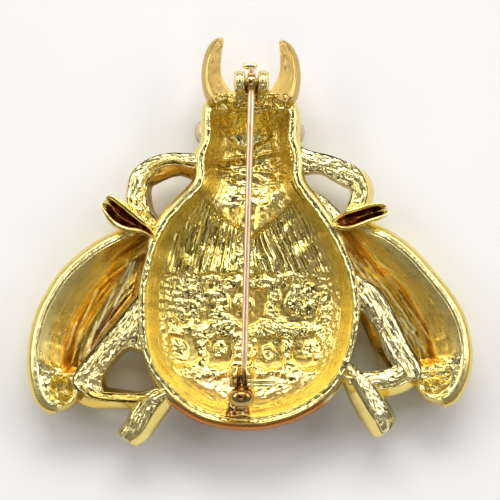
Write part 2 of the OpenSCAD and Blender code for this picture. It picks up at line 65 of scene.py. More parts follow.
def read_edges(text):
    """The two edges of each named piece; | stands between them."""
    edges = {}
    for word in text.split():
        if word.isidentifier():
            name = word
            edges[name] = [[], []]
            side = 0
        elif word == "|":
            side = 1
        else:
            edges[name][side].append([int(value) / 100 for value in word.split(",")])
    return edges


# Edges of the casting's parts, seen from above: x,y in hundredths of a millimetre.
EDGES = read_edges("""
rim 0,1595 132,1595 264,1589 385,1573 451,1529 486,1457 495,1370 491,1271 486,1182 495,1105 522,1029 539,940 542,842
539,742 567,654 616,578 693,479 787,358 869,231 957,82 1045,-88 1122,-269 1171,-457 1195,-643 1195,-820 1177,-985
1144,-1149 1095,-1304 1034,-1436 957,-1556 863,-1666 737,-1771 605,-1848 462,-1914 297,-1964 143,-1996 0,-2007 |
0,1595 -132,1595 -264,1589 -374,1568 -440,1529 -470,1469 -477,1380 -480,1281 -480,1194 -490,1105 -528,1034 -559,973
-565,896 -561,809 -561,732 -594,643 -660,567 -770,457 -880,341 -968,225 -1039,94 -1100,-39 -1144,-204 -1188,-369
-1210,-533 -1218,-699 -1214,-863 -1199,-1062 -1171,-1215 -1117,-1370 -1045,-1490 -957,-1595 -863,-1705 -748,-1798
-627,-1875 -484,-1939 -330,-1979 -154,-2001 0,-2007
wing_left -1287,133 -1386,100 -1518,39 -1650,-32 -1760,-104 -1870,-192 -1980,-291 -2090,-417 -2195,-593 -2271,-736
-2327,-901 -2365,-1077 -2382,-1253 -2379,-1407 -2354,-1561 -2316,-1682 -2266,-1765 -2211,-1801 -2160,-1814 -2128,-1818
| -1078,100 -1111,-10 -1144,-142 -1177,-285 -1204,-439 -1232,-571 -1309,-681 -1419,-813 -1540,-956 -1661,-1099
-1782,-1253 -1881,-1374 -1930,-1440 -1909,-1550 -1909,-1660 -1958,-1748 -2046,-1803 -2120,-1819
wing_right 1230,220 1276,180 1364,138 1474,94 1584,28 1694,-54 1815,-164 1947,-313 2068,-461 2189,-621 2277,-775
2338,-934 2371,-1110 2379,-1275 2357,-1429 2310,-1561 2250,-1666 2200,-1715 2156,-1737 2120,-1745 | 930,160 946,67
1012,-65 1078,-208 1144,-329 1243,-395 1353,-461 1452,-538 1540,-681 1617,-824 1683,-978 1760,-1132 1837,-1264
1886,-1374 1870,-1484 1875,-1583 1925,-1666 2013,-1721 2110,-1746
foreleg_left -484,1021 -572,999 -660,999 -770,1004 -880,1004 -990,988 -1100,953 -1188,905 -1276,834 -1337,751
-1364,658 -1375,570 -1386,482 -1353,372 -1243,262 -1100,141 | -484,636 -572,669 -638,696 -693,724 -770,746 -858,732
-935,702 -1012,663 -1072,630 -1089,570 -1084,493 -1072,416 -1045,339 -990,262 -957,196
foreleg_right 418,1164 484,1125 561,1070 649,1030 748,1004 858,980 968,944 1078,900 1177,856 1271,795 1337,713
1367,614 1364,515 1331,416 1232,328 | 462,834 550,790 616,751 693,762 792,757 902,696 1012,636 1089,597 1103,537
1089,471 1056,399 1034,317
shoulder_strut 506,768 583,669 660,603 770,542 858,482 935,405 1006,328 1012,229 | 440,658 506,548 605,427 704,306
803,196 891,119
thigh_left -1122,-454 -1221,-575 -1309,-685 -1419,-817 -1540,-960 -1661,-1103 -1782,-1257 -1881,-1367 -1952,-1455
-1975,-1532 -1947,-1609 -1881,-1664 | -1078,-1290 -1180,-1245 -1250,-1210 -1320,-1195 -1390,-1230 -1450,-1290
-1510,-1365 -1555,-1440 -1578,-1510 -1570,-1580 -1540,-1642 -1518,-1719
thigh_right 1045,-487 1111,-641 1166,-773 1221,-855 1254,-938 1309,-1059 1375,-1191 1452,-1312 1518,-1383 1562,-1488
1606,-1565 | 1100,-223 1166,-333 1254,-399 1353,-465 1452,-542 1540,-685 1617,-828 1683,-982 1760,-1136 1837,-1268
1892,-1378 1886,-1477 1826,-1554
shin_left -1738,-1432 -1661,-1520 -1573,-1586 -1474,-1603 -1353,-1621 -1210,-1636 -1078,-1608 -924,-1531 | -1947,-1531
-1920,-1674 -1881,-1768 -1760,-1820 -1617,-1834 -1463,-1834 -1320,-1834 -1177,-1823 -1012,-1762
shin_right 1001,-1410 1100,-1427 1210,-1423 1342,-1408 1463,-1394 1551,-1366 1639,-1300 | 1100,-1608 1188,-1652
1298,-1685 1430,-1705 1551,-1696 1672,-1665 1793,-1603 1886,-1520
foot_left -940,-1570 -1090,-1600 -1210,-1660 -1280,-1760 -1340,-1890 -1395,-2000 -1450,-2070 -1450,-2120 | -726,-1729
-825,-1762 -880,-1839 -957,-1949 -1034,-2059 -1111,-2158 -1220,-2230 -1290,-2245
foot_right 990,-1366 1006,-1476 1034,-1586 1078,-1707 1144,-1828 1221,-1955 1309,-2075 1370,-2140 1430,-2150 |
1122,-1322 1232,-1421 1342,-1509 1430,-1614 1496,-1718 1560,-1817 1605,-1920 1595,-1990 1560,-2050
horn_left -396,1431 -446,1508 -490,1596 -520,1690 -537,1805 -537,1915 -517,2031 -484,2119 -434,2196 -379,2243
-335,2261 | -77,1563 -154,1629 -225,1703 -283,1778 -316,1860 -325,1937 -319,2025 -308,2113 -294,2185 -290,2229
-305,2256
horn_right 418,1453 473,1519 522,1596 547,1684 561,1794 559,1904 539,2020 500,2113 446,2183 390,2221 352,2234 |
88,1563 165,1635 231,1703 278,1767 310,1838 330,1921 334,2003 330,2091 325,2168 322,2207 330,2229
front_foot_left -1012,12 -1045,67 -1095,155 -1144,227 -1227,298 -1309,364 -1386,430 -1452,482 -1502,513 -1535,491 |
-1023,-21 -1089,45 -1177,84 -1276,95 -1375,106 -1474,144 -1551,205 -1606,271 -1634,331 -1628,377
front_foot_right 913,243 990,309 1078,348 1188,383 1287,415 1364,430 1424,430 1457,403 | 902,155 968,133 1034,119
1111,125 1210,158 1309,196 1408,227 1490,260 1518,293
""")

# Across the outer wall of the body: reach from the middle line, outward push, depth below the rim.
OUTER_SKIN = [(1, 0, 0), (1, 0.62, 0.06), (1, 1, 0.16), (1, 0.9, 0.34), (0.93, 0.5, 0.58),
              (0.79, 0, 0.78), (0.58, 0, 0.91), (0.32, 0, 0.98), (0.1, 0, 1)]
# Across the body's rim, from its outer edge: share of the width, height.
RIM_PROFILE = [(0, -0.1), (0.05, -0.02), (0.12, 0), (0.24, -0.05), (0.38, -0.07), (0.52, -0.07),
               (0.66, -0.06), (0.78, -0.01), (0.88, 0.04), (0.96, 0), (1, -0.12)]
# Depth of the front along the body: distance from the brow as a share, share of the depth
# at the stones, share of the stones' own height.
FRONT_DEPTH = [(0, 0.93, 0.7), (0.1, 1, 1), (0.19, 0.86, 0.4), (0.28, 0.97, 0.3), (0.355, 0.88, 0.15),
               (0.46, 0.95, 0), (0.6, 1, 0), (1, 1, 0)]
# Depth of the hollow's floor below the rim, along y.
FLOOR_DEPTH = [(-20.2, 3.9), (-17, 4.3), (-13, 4.62), (-8, 4.66), (-3, 4.5), (2, 4.3), (5, 4.35),
               (8, 4.5), (10.3, 4.6), (12.5, 4.85), (15.5, 4.2)]
# Seats of the stones inside the hollow: middle, half-width, half-height, then the offset and share
# of the rough clump in the middle.
SEATS = [(-6.5, -6.15, 2.6, 3.1, -0.3, 0.1, 0.95), (-0.33, -6.7, 2.5, 2.6, -0.35, 0.1, 0.5),
         (5.5, -6.37, 2.75, 2.95, 0.3, 0.3, 0.8), (-7.4, -11.75, 1.95, 2.0, -0.75, 0.0, 0.75),
         (-3.3, -11.87, 1.75, 2.15, 0.0, 0.2, 0.5), (2.1, -11.9, 1.85, 2.1, -0.1, 0.0, 0.5),
         (6.4, -11.75, 2.0, 2.15, 0.8, 0.0, 0.7)]
# Painted shade in the fur: middle, squash along y, radius, strength.
FUR_SHADES = [(-3.5, 0.9, 1.4, 0.9, 0.204), (1.9, 2.3, 1, 0.7, 0.18), (4.6, 2.6, 1, 0.9, 0.12)]


# Curves, noise and easing.
def even_line(points, count):
    """Smooth line through points, as count points evenly spaced along it."""
    p = np.array(points, float)
    ends = np.vstack([2 * p[0] - p[1], p, 2 * p[-1] - p[-2]])
    t = np.linspace(0, 1, 17)[:-1, None]
    parts = []
    for i in range(len(p) - 1):
        a, b, c, d = ends[i:i + 4]
        square, cube = 2 * a - 5 * b + 4 * c - d, 3 * b - a - 3 * c + d
        parts.append(0.5 * (2 * b + (c - a) * t + square * t ** 2 + cube * t ** 3))
    line = np.vstack(parts + [p[-1:]])
    s = np.concatenate([[0], np.cumsum(np.linalg.norm(np.diff(line, axis=0), axis=1))])
    at = np.linspace(0, s[-1], count)
    return np.stack([np.interp(at, s, line[:, k]) for k in range(line.shape[1])], 1)


def ease(low, high, x):
    """0 below low, 1 above high, smooth between."""
    t = np.clip((x - low) / (high - low), 0, 1)
    return t * t * (3 - 2 * t)


def table(rows, x, column=1):
    """The value in a table's column where its first column is x, straight between the rows."""
    rows = np.array(rows, float)
    order = np.argsort(rows[:, 0])
    return np.interp(x, rows[order, 0], rows[order, column])


LATTICE_SIZE = 512
LATTICE = np.random.default_rng(11).random((LATTICE_SIZE, LATTICE_SIZE))


def grain(x, y, seed=0):
    """Smooth random height between -1 and 1 with a wave of about one unit."""
    x = np.asarray(x, float) + 37.3 * seed + 300
    y = np.asarray(y, float) + 19.7 * seed + 300
    i, j = np.floor(x).astype(int), np.floor(y).astype(int)
    u, v = x - i, y - j
    u, v = u * u * (3 - 2 * u), v * v * (3 - 2 * v)
    i, j, right, up = (k % LATTICE_SIZE for k in (i, j, i + 1, j + 1))
    a, b, c, d = LATTICE[i, j], LATTICE[right, j], LATTICE[i, up], LATTICE[right, up]
    return 2 * ((a * (1 - u) + b * u) * (1 - v) + (c * (1 - u) + d * u) * v) - 1


def rough(x, y, seed=0, octaves=3):
    """Random height with finer and finer waves."""
    return sum(grain(x * 2 ** k, y * 2 ** k, seed + 5 * k) * 0.55 ** k for k in range(octaves))


def creased(x, y, seed=0, octaves=3):
    """Random height with sharp ridges."""
    return sum((0.6 - 2 * np.abs(grain(x * 2 ** k, y * 2 ** k, seed + 7 * k))) * 0.55 ** k for k in range(octaves))


def crest(v):
    """Sharp ridges, one a unit."""
    return 1 - np.abs(2 * (v - np.floor(v)) - 1)


def bell(v, width):
    """1 at 0, falling to almost nothing at twice the width."""
    return np.exp(-(v / width) ** 2)


def outward(line, closed=False):
    """Sideways direction at each point of a line, to the left of its run."""
    if closed:
        d = np.roll(line, -1, 0) - np.roll(line, 1, 0)
    else:
        d = np.gradient(line, axis=0)
    d /= np.maximum(np.linalg.norm(d, axis=1, keepdims=True), 1e-9)
    return np.stack([-d[:, 1], d[:, 0]], 1)


def settle(values, times, closed=True):
    """Evens out neighbouring values."""
    for _ in range(times):
        if closed:
            values = (np.roll(values, 1, 0) + 2 * values + np.roll(values, -1, 0)) / 4
        else:
            inner = (values[:-2] + 2 * values[1:-1] + values[2:]) / 4
            values = np.concatenate([values[:1], inner, values[-1:]])
    return values


# Meshes.
def deselect():
    for o in bpy.context.selected_objects:
        o.select_set(False)


def strips(rows, columns, start=0):
    """Faces of a sheet of rows that closes round its columns."""
    r, c = np.meshgrid(np.arange(rows - 1), np.arange(columns), indexing="ij")
    a = start + r * columns + c
    b = start + r * columns + (c + 1) % columns
    return np.stack([a, b, b + columns, a + columns], -1).reshape(-1, 4)


def new_piece(name, points, quads, tris=None, marks=None):
    """A smooth closed mesh from points in millimetres, its faces outwards. marks: for each point a number
    or a vector."""
    quads = np.asarray(quads, np.int64).reshape(-1, 4)
    tris = np.asarray(tris if tris is not None else [], np.int64).reshape(-1, 3)
    points = np.asarray(points, float)
    three = np.vstack([quads[:, [0, 1, 2]], quads[:, [0, 2, 3]], tris])
    p, q, r = points[three[:, 0]], points[three[:, 1]], points[three[:, 2]]
    if np.einsum("ij,ij->i", p, np.cross(q, r)).sum() < 0:
        quads, tris = quads[:, ::-1], tris[:, ::-1]
    mesh = bpy.data.meshes.new(name)
    mesh.from_pydata((points * MM).tolist(), [], quads.tolist() + tris.tolist())
    mesh.shade_smooth()
    for key, values in (marks or {}).items():
        values = np.asarray(values, np.float32)
        kind = "FLOAT_VECTOR" if values.ndim == 2 else "FLOAT"
        layer = mesh.attributes.new(key, kind, "POINT")
        layer.data.foreach_set("vector" if values.ndim == 2 else "value", values.ravel())
    piece = bpy.data.objects.new(name, mesh)
    bpy.context.scene.collection.objects.link(piece)
    return piece


def paint(piece, **marks):
    """Gives every point of a piece numbers: even ones, or worked out from its place in millimetres."""
    mesh = piece.data
    co = np.empty(len(mesh.vertices) * 3, np.float32)
    mesh.vertices.foreach_get("co", co)
    x, y, z = co.reshape(-1, 3).T.astype(float) / MM
    for key, value in marks.items():
        layer = mesh.attributes.get(key) or mesh.attributes.new(key, "FLOAT", "POINT")
        value = value(x, y, z) if callable(value) else value
        layer.data.foreach_set("value", np.full(len(x), value, np.float32))
    return piece


def loft(name, sections, marks=None):
    """A closed solid through rows of points, each row a closed loop, both ends capped."""
    rows, columns = sections.shape[:2]
    points = np.vstack([sections.reshape(-1, 3), sections[0].mean(0), sections[-1].mean(0)])
    c = np.arange(columns)
    first = np.stack([np.full(columns, rows * columns), (c + 1) % columns, c], 1)
    base = (rows - 1) * columns
    last = np.stack([np.full(columns, rows * columns + 1), base + c, base + (c + 1) % columns], 1)
    if marks:
        flat = {key: value.reshape((rows * columns,) + value.shape[2:]) for key, value in marks.items()}
        marks = {key: np.concatenate([flat[key], value[:1, 0], value[-1:, 0]]) for key, value in marks.items()}
    return new_piece(name, points, strips(rows, columns), np.vstack([first, last]), marks)


def lathe(name, profile, origin, axis, turns=64, start=0.0):
    """A solid turned round an axis from rows of (distance along the axis, radius)."""
    axis = np.array(axis, float) / np.linalg.norm(axis)
    side = np.cross(axis, [0.0, 0.0, 1.0] if abs(axis[2]) < 0.9 else [0.0, 1.0, 0.0])
    side /= np.linalg.norm(side)
    other = np.cross(axis, side)
    a = start + np.linspace(0, 2 * np.pi, turns, endpoint=False)
    ring = np.cos(a)[:, None] * side + np.sin(a)[:, None] * other
    rows = [np.array(origin) + axis * h + ring * max(r, 1e-4) for h, r in profile]
    return loft(name, np.array(rows))


def mirrored(rows):
    """Rows of (share, value) up to a half or less, followed by their mirror image in the other half."""
    return list(rows) + [(1 - share, value) for share, value in reversed(rows) if share != 0.5]


class Skin:
    """Gathers the skin of a piece line by line: the points of each line, and their marks."""

    def __init__(self, count, *keys):
        self.count, self.lines, self.marks = count, [], {key: [] for key in keys}

    def add(self, xy, z, **marks):
        self.lines.append(np.column_stack([xy, np.broadcast_to(z, self.count)]))
        for key, rows in self.marks.items():
            rows.append(np.broadcast_to(marks.get(key, 0.0), self.count))

    def sections(self):
        return np.stack(self.lines, 1)

    def loft(self, name, sections, along, step, **even):
        """The closed solid. along: the brushed run along a line, step: from line to line."""
        shape = sections.shape[:2]
        marks = {key: np.stack(rows, 1) for key, rows in self.marks.items()}
        for key, value in even.items():
            marks[key] = np.full(shape, value)
        run = (along[:, None], np.arange(shape[1]) * step, 0.0)
        marks["run"] = np.stack([np.broadcast_to(part, shape) for part in run], 2)
        return loft(name, sections, marks)


# The casting's body.
def body_loop(half):
    """Outer edge of the rim: down the right side and up the left, with the middle line's point of each."""
    right, left = (even_line(edge, half + 1) for edge in EDGES["rim"])
    loop = np.vstack([right, left[half - 1:0:-1]])
    middle = (right[:, 1] + left[:, 1]) / 2
    low, high = -7.6, 12.35
    spine = 0.94 * np.clip(middle, low, high) + 0.06 * np.linspace(high, low, half + 1)
    index = np.concatenate([np.arange(half + 1), np.arange(half - 1, 0, -1)])
    return loop, np.stack([np.zeros(half + 1), spine], 1), index


def front_depth(y, rim_z):
    """How far the front's middle line lies below the rim, along y."""
    share = (BROW_Y - y) / BODY_LENGTH
    return (rim_z - STONE_RISE) * table(FRONT_DEPTH, share, 1) + STONE_RISE * table(FRONT_DEPTH, share, 2)


def floor_relief(x, y):
    """The cast relief over the smooth floor of the body's hollow: its height, and the marks of its
    grain, of the smooth rings, of the fur and its phase, and its painted light: painted highlights above 0, painted
    shade below."""
    z = np.zeros_like(x)
    grainy = 0.35 + 0 * x
    # Head: an oval dimple with a steep upper edge, whose lower half slopes up to the thorax.
    r = np.hypot(x / 2.4, (y - 12.55) / 1.7) + 0.06 * grain(x * 1.2, y * 1.2, 2)
    dimple = ease(1.1, 0.9, r)
    z += dimple * (0.15 * np.clip(12.9 - y, 0, 2.2) - 0.4) + 0.26 * bell(r - 1.12, 0.1)
    z += (0.3 - 0.25 * dimple) * creased(x * 0.7, y * 1.3, 3, 2) * ease(1.5, 1.0, r)
    wrinkles = 0.16 * creased(x * 0.8, y * 0.6, 4, 2) + 0.07 * rough(x * 1.6, y * 0.9, 4)
    z += wrinkles * ease(8.6, 10.5, y)
    z += 0.3 * bell(y - 11.2 - 0.42 * (x - 1.2), 0.3) * ease(0.2, 0.9, x) * ease(3.2, 2.4, x)
    z += 0.3 * bell(y - 14.9, 0.5) * (0.6 + 0.5 * grain(x * 1.6, y, 5))
    # Ridge between head and thorax, with its wrinkles.
    line = y - (9.9 + 0.14 * x)
    z += 0.6 * bell(line, 0.15) * ease(3.6, 2.6, np.abs(x - 0.3)) - 0.3 * bell(line + 0.5, 0.3)
    band = ease(6.4, 7.0, y) * ease(9.7, 9.2, y)
    z += band * (0.3 * creased(x * 0.6, y * 1.5, 6, 2) + 0.12 * ease(9.2, 7.4, y))
    # Thorax: a shield that comes to a point, its upper face tilted towards the head.
    half = np.where(y < 4.75, 4.75 * np.clip((y - 0.75) / 4.0, 0, 1) ** 0.9, 4.75 - 0.35 * (y - 4.75))
    off = np.abs(x - 0.2) + 0.28 * grain(x * 0.7, y * 0.7, 14) + 0.12 * grain(x * 2, y * 2, 15)
    off -= 0.5 * ease(0, -2, x) * bell(y - 3.2, 1.4)
    shield = ease(-0.15, 0.35, half - off) * ease(7.3, 6.6, y)
    face = ease(3.7, 2.5, np.abs(x - 0.55))
    brow = 6.75 - 0.5 * ease(0.4, -2.6, x) + 0.25 * grain(x * 0.9, 0, 18)
    reach = 2.2 + 0.5 * ease(0.4, 1.2, x) + 0.25 * grain(x * 0.8, 0, 17) - 0.22 * (x - 0.6) ** 2 * face
    fall = np.minimum(np.clip(brow - y, 0, 9), reach)
    low_slope = 0.07 * np.clip(4.45 - y, 0, 3.7) + 0.1 * rough(x * 0.8, y * 0.6, 16)
    z += shield * ((0.26 + 0.2 * face) * fall + low_slope)
    z -= 0.12 * bell(half - off + 0.1, 0.16) * ease(4.9, 4.3, y) * ease(0.5, 1.2, y)
    z += 0.11 * creased(x * 0.9, y * 1.1, 8, 3) * face * shield * ease(4.0, 4.6, y)
    z -= 0.12 * bell(np.hypot(x + 0.9, y - 5.9) - 2.3, 0.09) * shield * ease(0.3, 0.9, x)
    grainy += shield * (0.3 * face * ease(4.2, 4.8, y) - 0.1 * ease(4.6, 4.0, y))
    plain = shield * ease(4.7, 3.9, y + 0.3 * grain(x, y, 19))
    z += plain * (0.05 * rough((x - 0.3) * 2.2, y * 0.9, 20) + 0.03 * grain(x * 4.5, y * 2, 22))
    grainy += 0.25 * plain
    # Fan of fur on both sides of the shield and below it.
    top = 4.9 + 0.12 * np.abs(x)
    hem = -3.05 - 0.34 * np.abs(np.sin(np.pi * (x + 1.3) / 2.9))
    above_hem = ease(hem - 0.1, hem + 0.16, y)
    fur = ease(-0.05, 0.35, off - half) * ease(top + 0.4, top - 0.6, y) * above_hem
    lean = 0.45 * ease(-1.5, 4.0, x) - 0.28 * ease(0.0, -5.0, x)
    phase = (x + lean * (y - 1.0)) / 0.46 + 0.3 * grain(x * 0.5, y * 0.3, 9)
    strand = crest(phase / 2 + 0.25) * (0.7 + 0.5 * grain(np.floor(phase / 2) * 3.1, y * 0.5, 11))
    z += fur * (0.2 * strand + 0.3 * rough(x * 0.6, y * 0.4, 12, 2))
    column = bell(x + 0.85, 0.5) * ease(2.4, 1.6, y) * above_hem
    z += 0.14 * column * creased(x * 1.6, y * 2.2, 13, 2)
    z += above_hem * ease(0.8, -2.4, y) * 0.15
    z -= 0.22 * bell(y - hem + 0.2, 0.25) * ease(3.4, 2.4, np.abs(x + 0.3))
    z += 0.16 * bell(y - hem + 0.1, 0.16) * ease(1.5, 2.5, x)
    grainy += 0.2 * fur + 0.3 * column
    # Seats: a grainy network, and in each mesh a smooth ring round a rough clump.
    below = ease(hem + 0.05, hem - 0.3, y)
    zone = below * ease(-14.9, -14.2, y + 0.25 * grain(x, 0, 75))
    nearest = np.full_like(x, 9.0)
    clump = np.zeros_like(x)
    for k, (cx, cy, hw, hh, ox, oy, share) in enumerate(SEATS):
        u = (x - cx + 0.22 * grain(x * 0.8, y * 0.8, 20 + k)) / hw
        v = (y - cy + 0.22 * grain(x * 0.8, y * 0.8, 30 + k)) / hh
        nearest = np.minimum(nearest, (np.abs(u) ** 3 + np.abs(v) ** 3) ** (1 / 3))
        clump = np.maximum(clump, ease(1.0, 0.62, np.hypot(u - ox / hw, v - oy / hh) / share))
    net = ease(0.74, 0.98, nearest + 0.12 * grain(x * 1.4, y * 1.4, 78))
    busy = np.maximum(net, clump)
    bits = 0.1 * creased(x * 1.3, y * 1.3, 71, 2) + 0.06 * grain(x * 4.0, y * 4.0, 72)
    z += zone * (0.24 * net + 0.16 * clump + busy * bits - 0.1)
    swirl = creased(x * 1.7 + 0.3 * grain(x, y, 79), y * 1.7, 77, 2)
    z += zone * (0.35 + 0.65 * busy) * (0.05 * rough(x * 0.9, y * 0.9, 73) + 0.05 * swirl)
    grainy = grainy * (1 - below) + zone * (0.32 + 0.6 * busy) + 0.04 * (below - zone)
    ring = zone * (1 - busy) + plain * 0.9
    # Tail: smooth, with a few grains in two rows.
    last = ease(-13.9, -15.0, y)
    z += last * 0.11 * np.maximum(rough(x * 0.9, y * 0.9, 70), 0) ** 1.5
    for side in (-1, 1):
        row = bell((x + 0.6) * side - 4.2 - 0.85 * (y + 14.3), 0.55)
        z += last * 0.08 * row * ease(-17.4, -16.4, y) * (0.6 + rough(x * 2, y * 2, 76, 2))
    # Painted light: painted highlights on the shield's upper face, the fur's right side and the dimple's lower half;
    # painted shade over the tail, the wrinkled band, the dimple's upper edge and spots in the fur.
    painted_light = 0.3 * face * shield * ease(4.0, 4.6, y) + 0.25 * fur * ease(0.5, 3.0, x)
    painted_light += 0.4 * dimple * ease(12.5, 12.1, y) - 0.36 * last
    painted_light -= 0.3 * band * (1 - shield) + 0.3 * dimple * ease(12.6, 13.2, y)
    for cx, cy, squash, radius, shade_strength in FUR_SHADES:
        painted_light -= shade_strength * fur * bell(np.hypot(x - cx, (y - cy) * squash), radius)
    return z, np.clip(grainy, 0.03, 1), ring, fur * (1 - column), phase, painted_light


def body_shell(sizes, rows=92, half=380):
    """The body's front, outer wall, rim, inner wall and floor as one closed skin."""
    loop, spine, index = body_loop(half)
    n = len(loop)
    push = settle(outward(loop, closed=True), 6)
    push /= np.linalg.norm(push, axis=1, keepdims=True)
    middle = spine[index]
    loop_y = loop[:, 1]
    rim_z = sizes.rim_z / MM
    dip = settle(ease(14.95, 15.6, loop_y), 6)
    run = np.concatenate([[0], np.cumsum(np.linalg.norm(np.diff(loop, axis=0), axis=1))])
    skin = Skin(n, "grain", "streak", "deep", "satin", "pale", "hair", "phase", "hot", "copper")

    # Front and outer wall, from the lowest line up to the rim.
    depth = front_depth(middle[:, 1], rim_z)
    bulges = 1 - 0.75 * ease(0.5, -1.5, loop_y) * ease(-16.0, -14.0, loop_y)
    flare = (sizes.flare / MM * settle(bulges, 8))[:, None]
    # The outer wall: paler towards the tail, with an orange tint on its edge below the tail.
    for reach, bulge, share in even_line(OUTER_SKIN, 27)[::-1][:-1]:
        skin.add(middle + (loop - middle) * reach + push * bulge * flare,
                 rim_z - depth * share - dip * ease(0.3, 0.0, share),
                 streak=0.3, satin=0.5, pale=0.12 + 0.2 * ease(8.0, 4.0, loop_y),
                 copper=ease(-16.9, -17.6, loop_y) * ease(0.0, 0.02, share))

    # Rim: a flat grainy band between two brighter edges.
    narrow = ease(9.6, 10.6, loop_y) * (loop[:, 0] < 0) * ease(15.6, 14.8, loop_y)
    width = settle(sizes.rim_w / MM * (1 - 0.3 * narrow), 8)
    inner = loop - push * width[:, None]
    inner[:, 1] = np.minimum(inner[:, 1], HOLLOW_END_Y)
    inner = settle(inner, 3)
    tail = ease(-15.2, -17.5, loop_y)
    for share, lift in RIM_PROFILE:
        xy = loop + (inner - loop) * share
        pebbles = np.maximum(rough(xy[:, 0] * 2.9, xy[:, 1] * 2.9, 80, 2), -0.5)
        pebbles = 0.085 * pebbles * bell(share - 0.5, 0.4) * (0.75 + 0.5 * grain(run * 0.35, 0, 86))
        waver = bell(share - 0.86, 0.2) * (grain(run * 1.1, 0, 81) + 0.7 * grain(run * 2.9, 0, 84))
        z = rim_z - dip + lift + pebbles * (1 - 0.45 * tail) + 0.05 * waver + (0.06 - 0.27 * share) * tail
        # The rim's paler colour is a painted highlight; towards the tail it is less pale and deeper in colour.
        skin.add(xy + push * (0.09 * waver)[:, None], z,
                 grain=0.8 - 0.5 * tail, pale=0.35 - 0.3 * tail, deep=0.5 * tail)

    # Inner wall and floor.
    for v in np.linspace(0, 1, rows + 1)[1:-1] ** 1.12:
        xy = inner + (middle - inner) * v
        x, y = xy[:, 0], xy[:, 1]
        d = np.linalg.norm(xy - inner, axis=1)
        for part in np.array_split(np.arange(n), 4):
            gaps = ((xy[part, None] - inner[None, ::2]) ** 2).sum(-1)
            d[part] = np.minimum(d[part], np.sqrt(gaps).min(1))
        low = ease(3, -4, y)
        bowl = 1 - 0.8 * np.exp(-(d / (1.0 + 0.25 * low)) ** 1.3) - 0.2 * np.exp(-(d / (2.2 + 1.6 * low)) ** 2)
        relief, grainy, ring, hair, phase, painted_light = floor_relief(x, y)
        at_floor = ease(0.55 + 0.5 * low, 1.5 + 0.7 * low, d)
        seam = ease(0.15, 0.5, d) * ease(3.2, 1.4, d)
        z = rim_z - 0.1 - dip * ease(1.2, 0.0, d) - table(FLOOR_DEPTH, y) * bowl + relief * at_floor
        for amount, long, cross, seed in ((0.08, 0.16, 4.2, 82), (0.045, 0.3, 8.5, 85), (0.07, 0.35, 1.2, 83)):
            z += amount * seam * grain(run * long, d * cross, seed)
        tail = ease(-13.6, -15.0, y)
        z += 0.045 * tail * ease(0.3, 0.9, d) * creased(x * 1.5, y * 1.5, 87, 2)
        # The relief's painted highlights make the floor paler, and its painted shade makes it browner.
        skin.add(xy, z, grain=grainy * at_floor + 0.02 * (1 - at_floor) + 0.35 * tail,
                 streak=seam * (1 - 0.6 * tail), deep=0.8 * ring * at_floor,
                 satin=0.2 * (1 - at_floor) + np.maximum(0.65 * ring, 0.4 * tail) * at_floor,
                 pale=np.clip(painted_light, 0, 1) * at_floor + 0.12 * tail,
                 hair=hair * at_floor, phase=phase, hot=np.clip(-painted_light, 0, 1) * at_floor)

    # Both ends of the skin close along the middle line.
    r = len(skin.lines)
    low = np.column_stack([spine, rim_z - front_depth(spine[:, 1], rim_z)])
    relief, grainy, ring, hair, phase, painted_light = floor_relief(spine[:, 0], spine[:, 1])
    high = np.column_stack([spine, rim_z - 0.1 - table(FLOOR_DEPTH, spine[:, 1]) + relief])
    points = np.vstack([np.vstack(skin.lines), low, high])
    i = np.arange(n)
    j, base, last = (i + 1) % n, r * n, (r - 1) * n
    top = base + half + 1
    front = np.stack([base + index[i], base + index[j], j, i], 1)
    back = np.stack([last + i, last + j, top + index[j], top + index[i]], 1)
    # The middle line takes the same painted highlights and painted shade.
    ends = {"grain": (0, grainy), "deep": (0, 0.8 * ring), "satin": (0.6, 0.65 * ring),
            "pale": (0.3, np.clip(painted_light, 0, 1)), "hair": (0, hair), "phase": (0, phase),
            "hot": (0, np.clip(-painted_light, 0, 1))}
    still = np.zeros(2 * half + 2)
    along = np.concatenate([np.tile(run, r), still])
    across = np.concatenate([np.repeat(np.arange(r), n) * 0.12, still])
    marks = {"run": np.column_stack([along, across, 0 * along])}
    for key, lines in skin.marks.items():
        closing = [np.broadcast_to(value, half + 1) for value in ends.get(key, (0, 0))]
        marks[key] = np.concatenate([*lines, *closing])
    return new_piece("body_shell", points, np.vstack([strips(r, n), front, back]), None, marks)


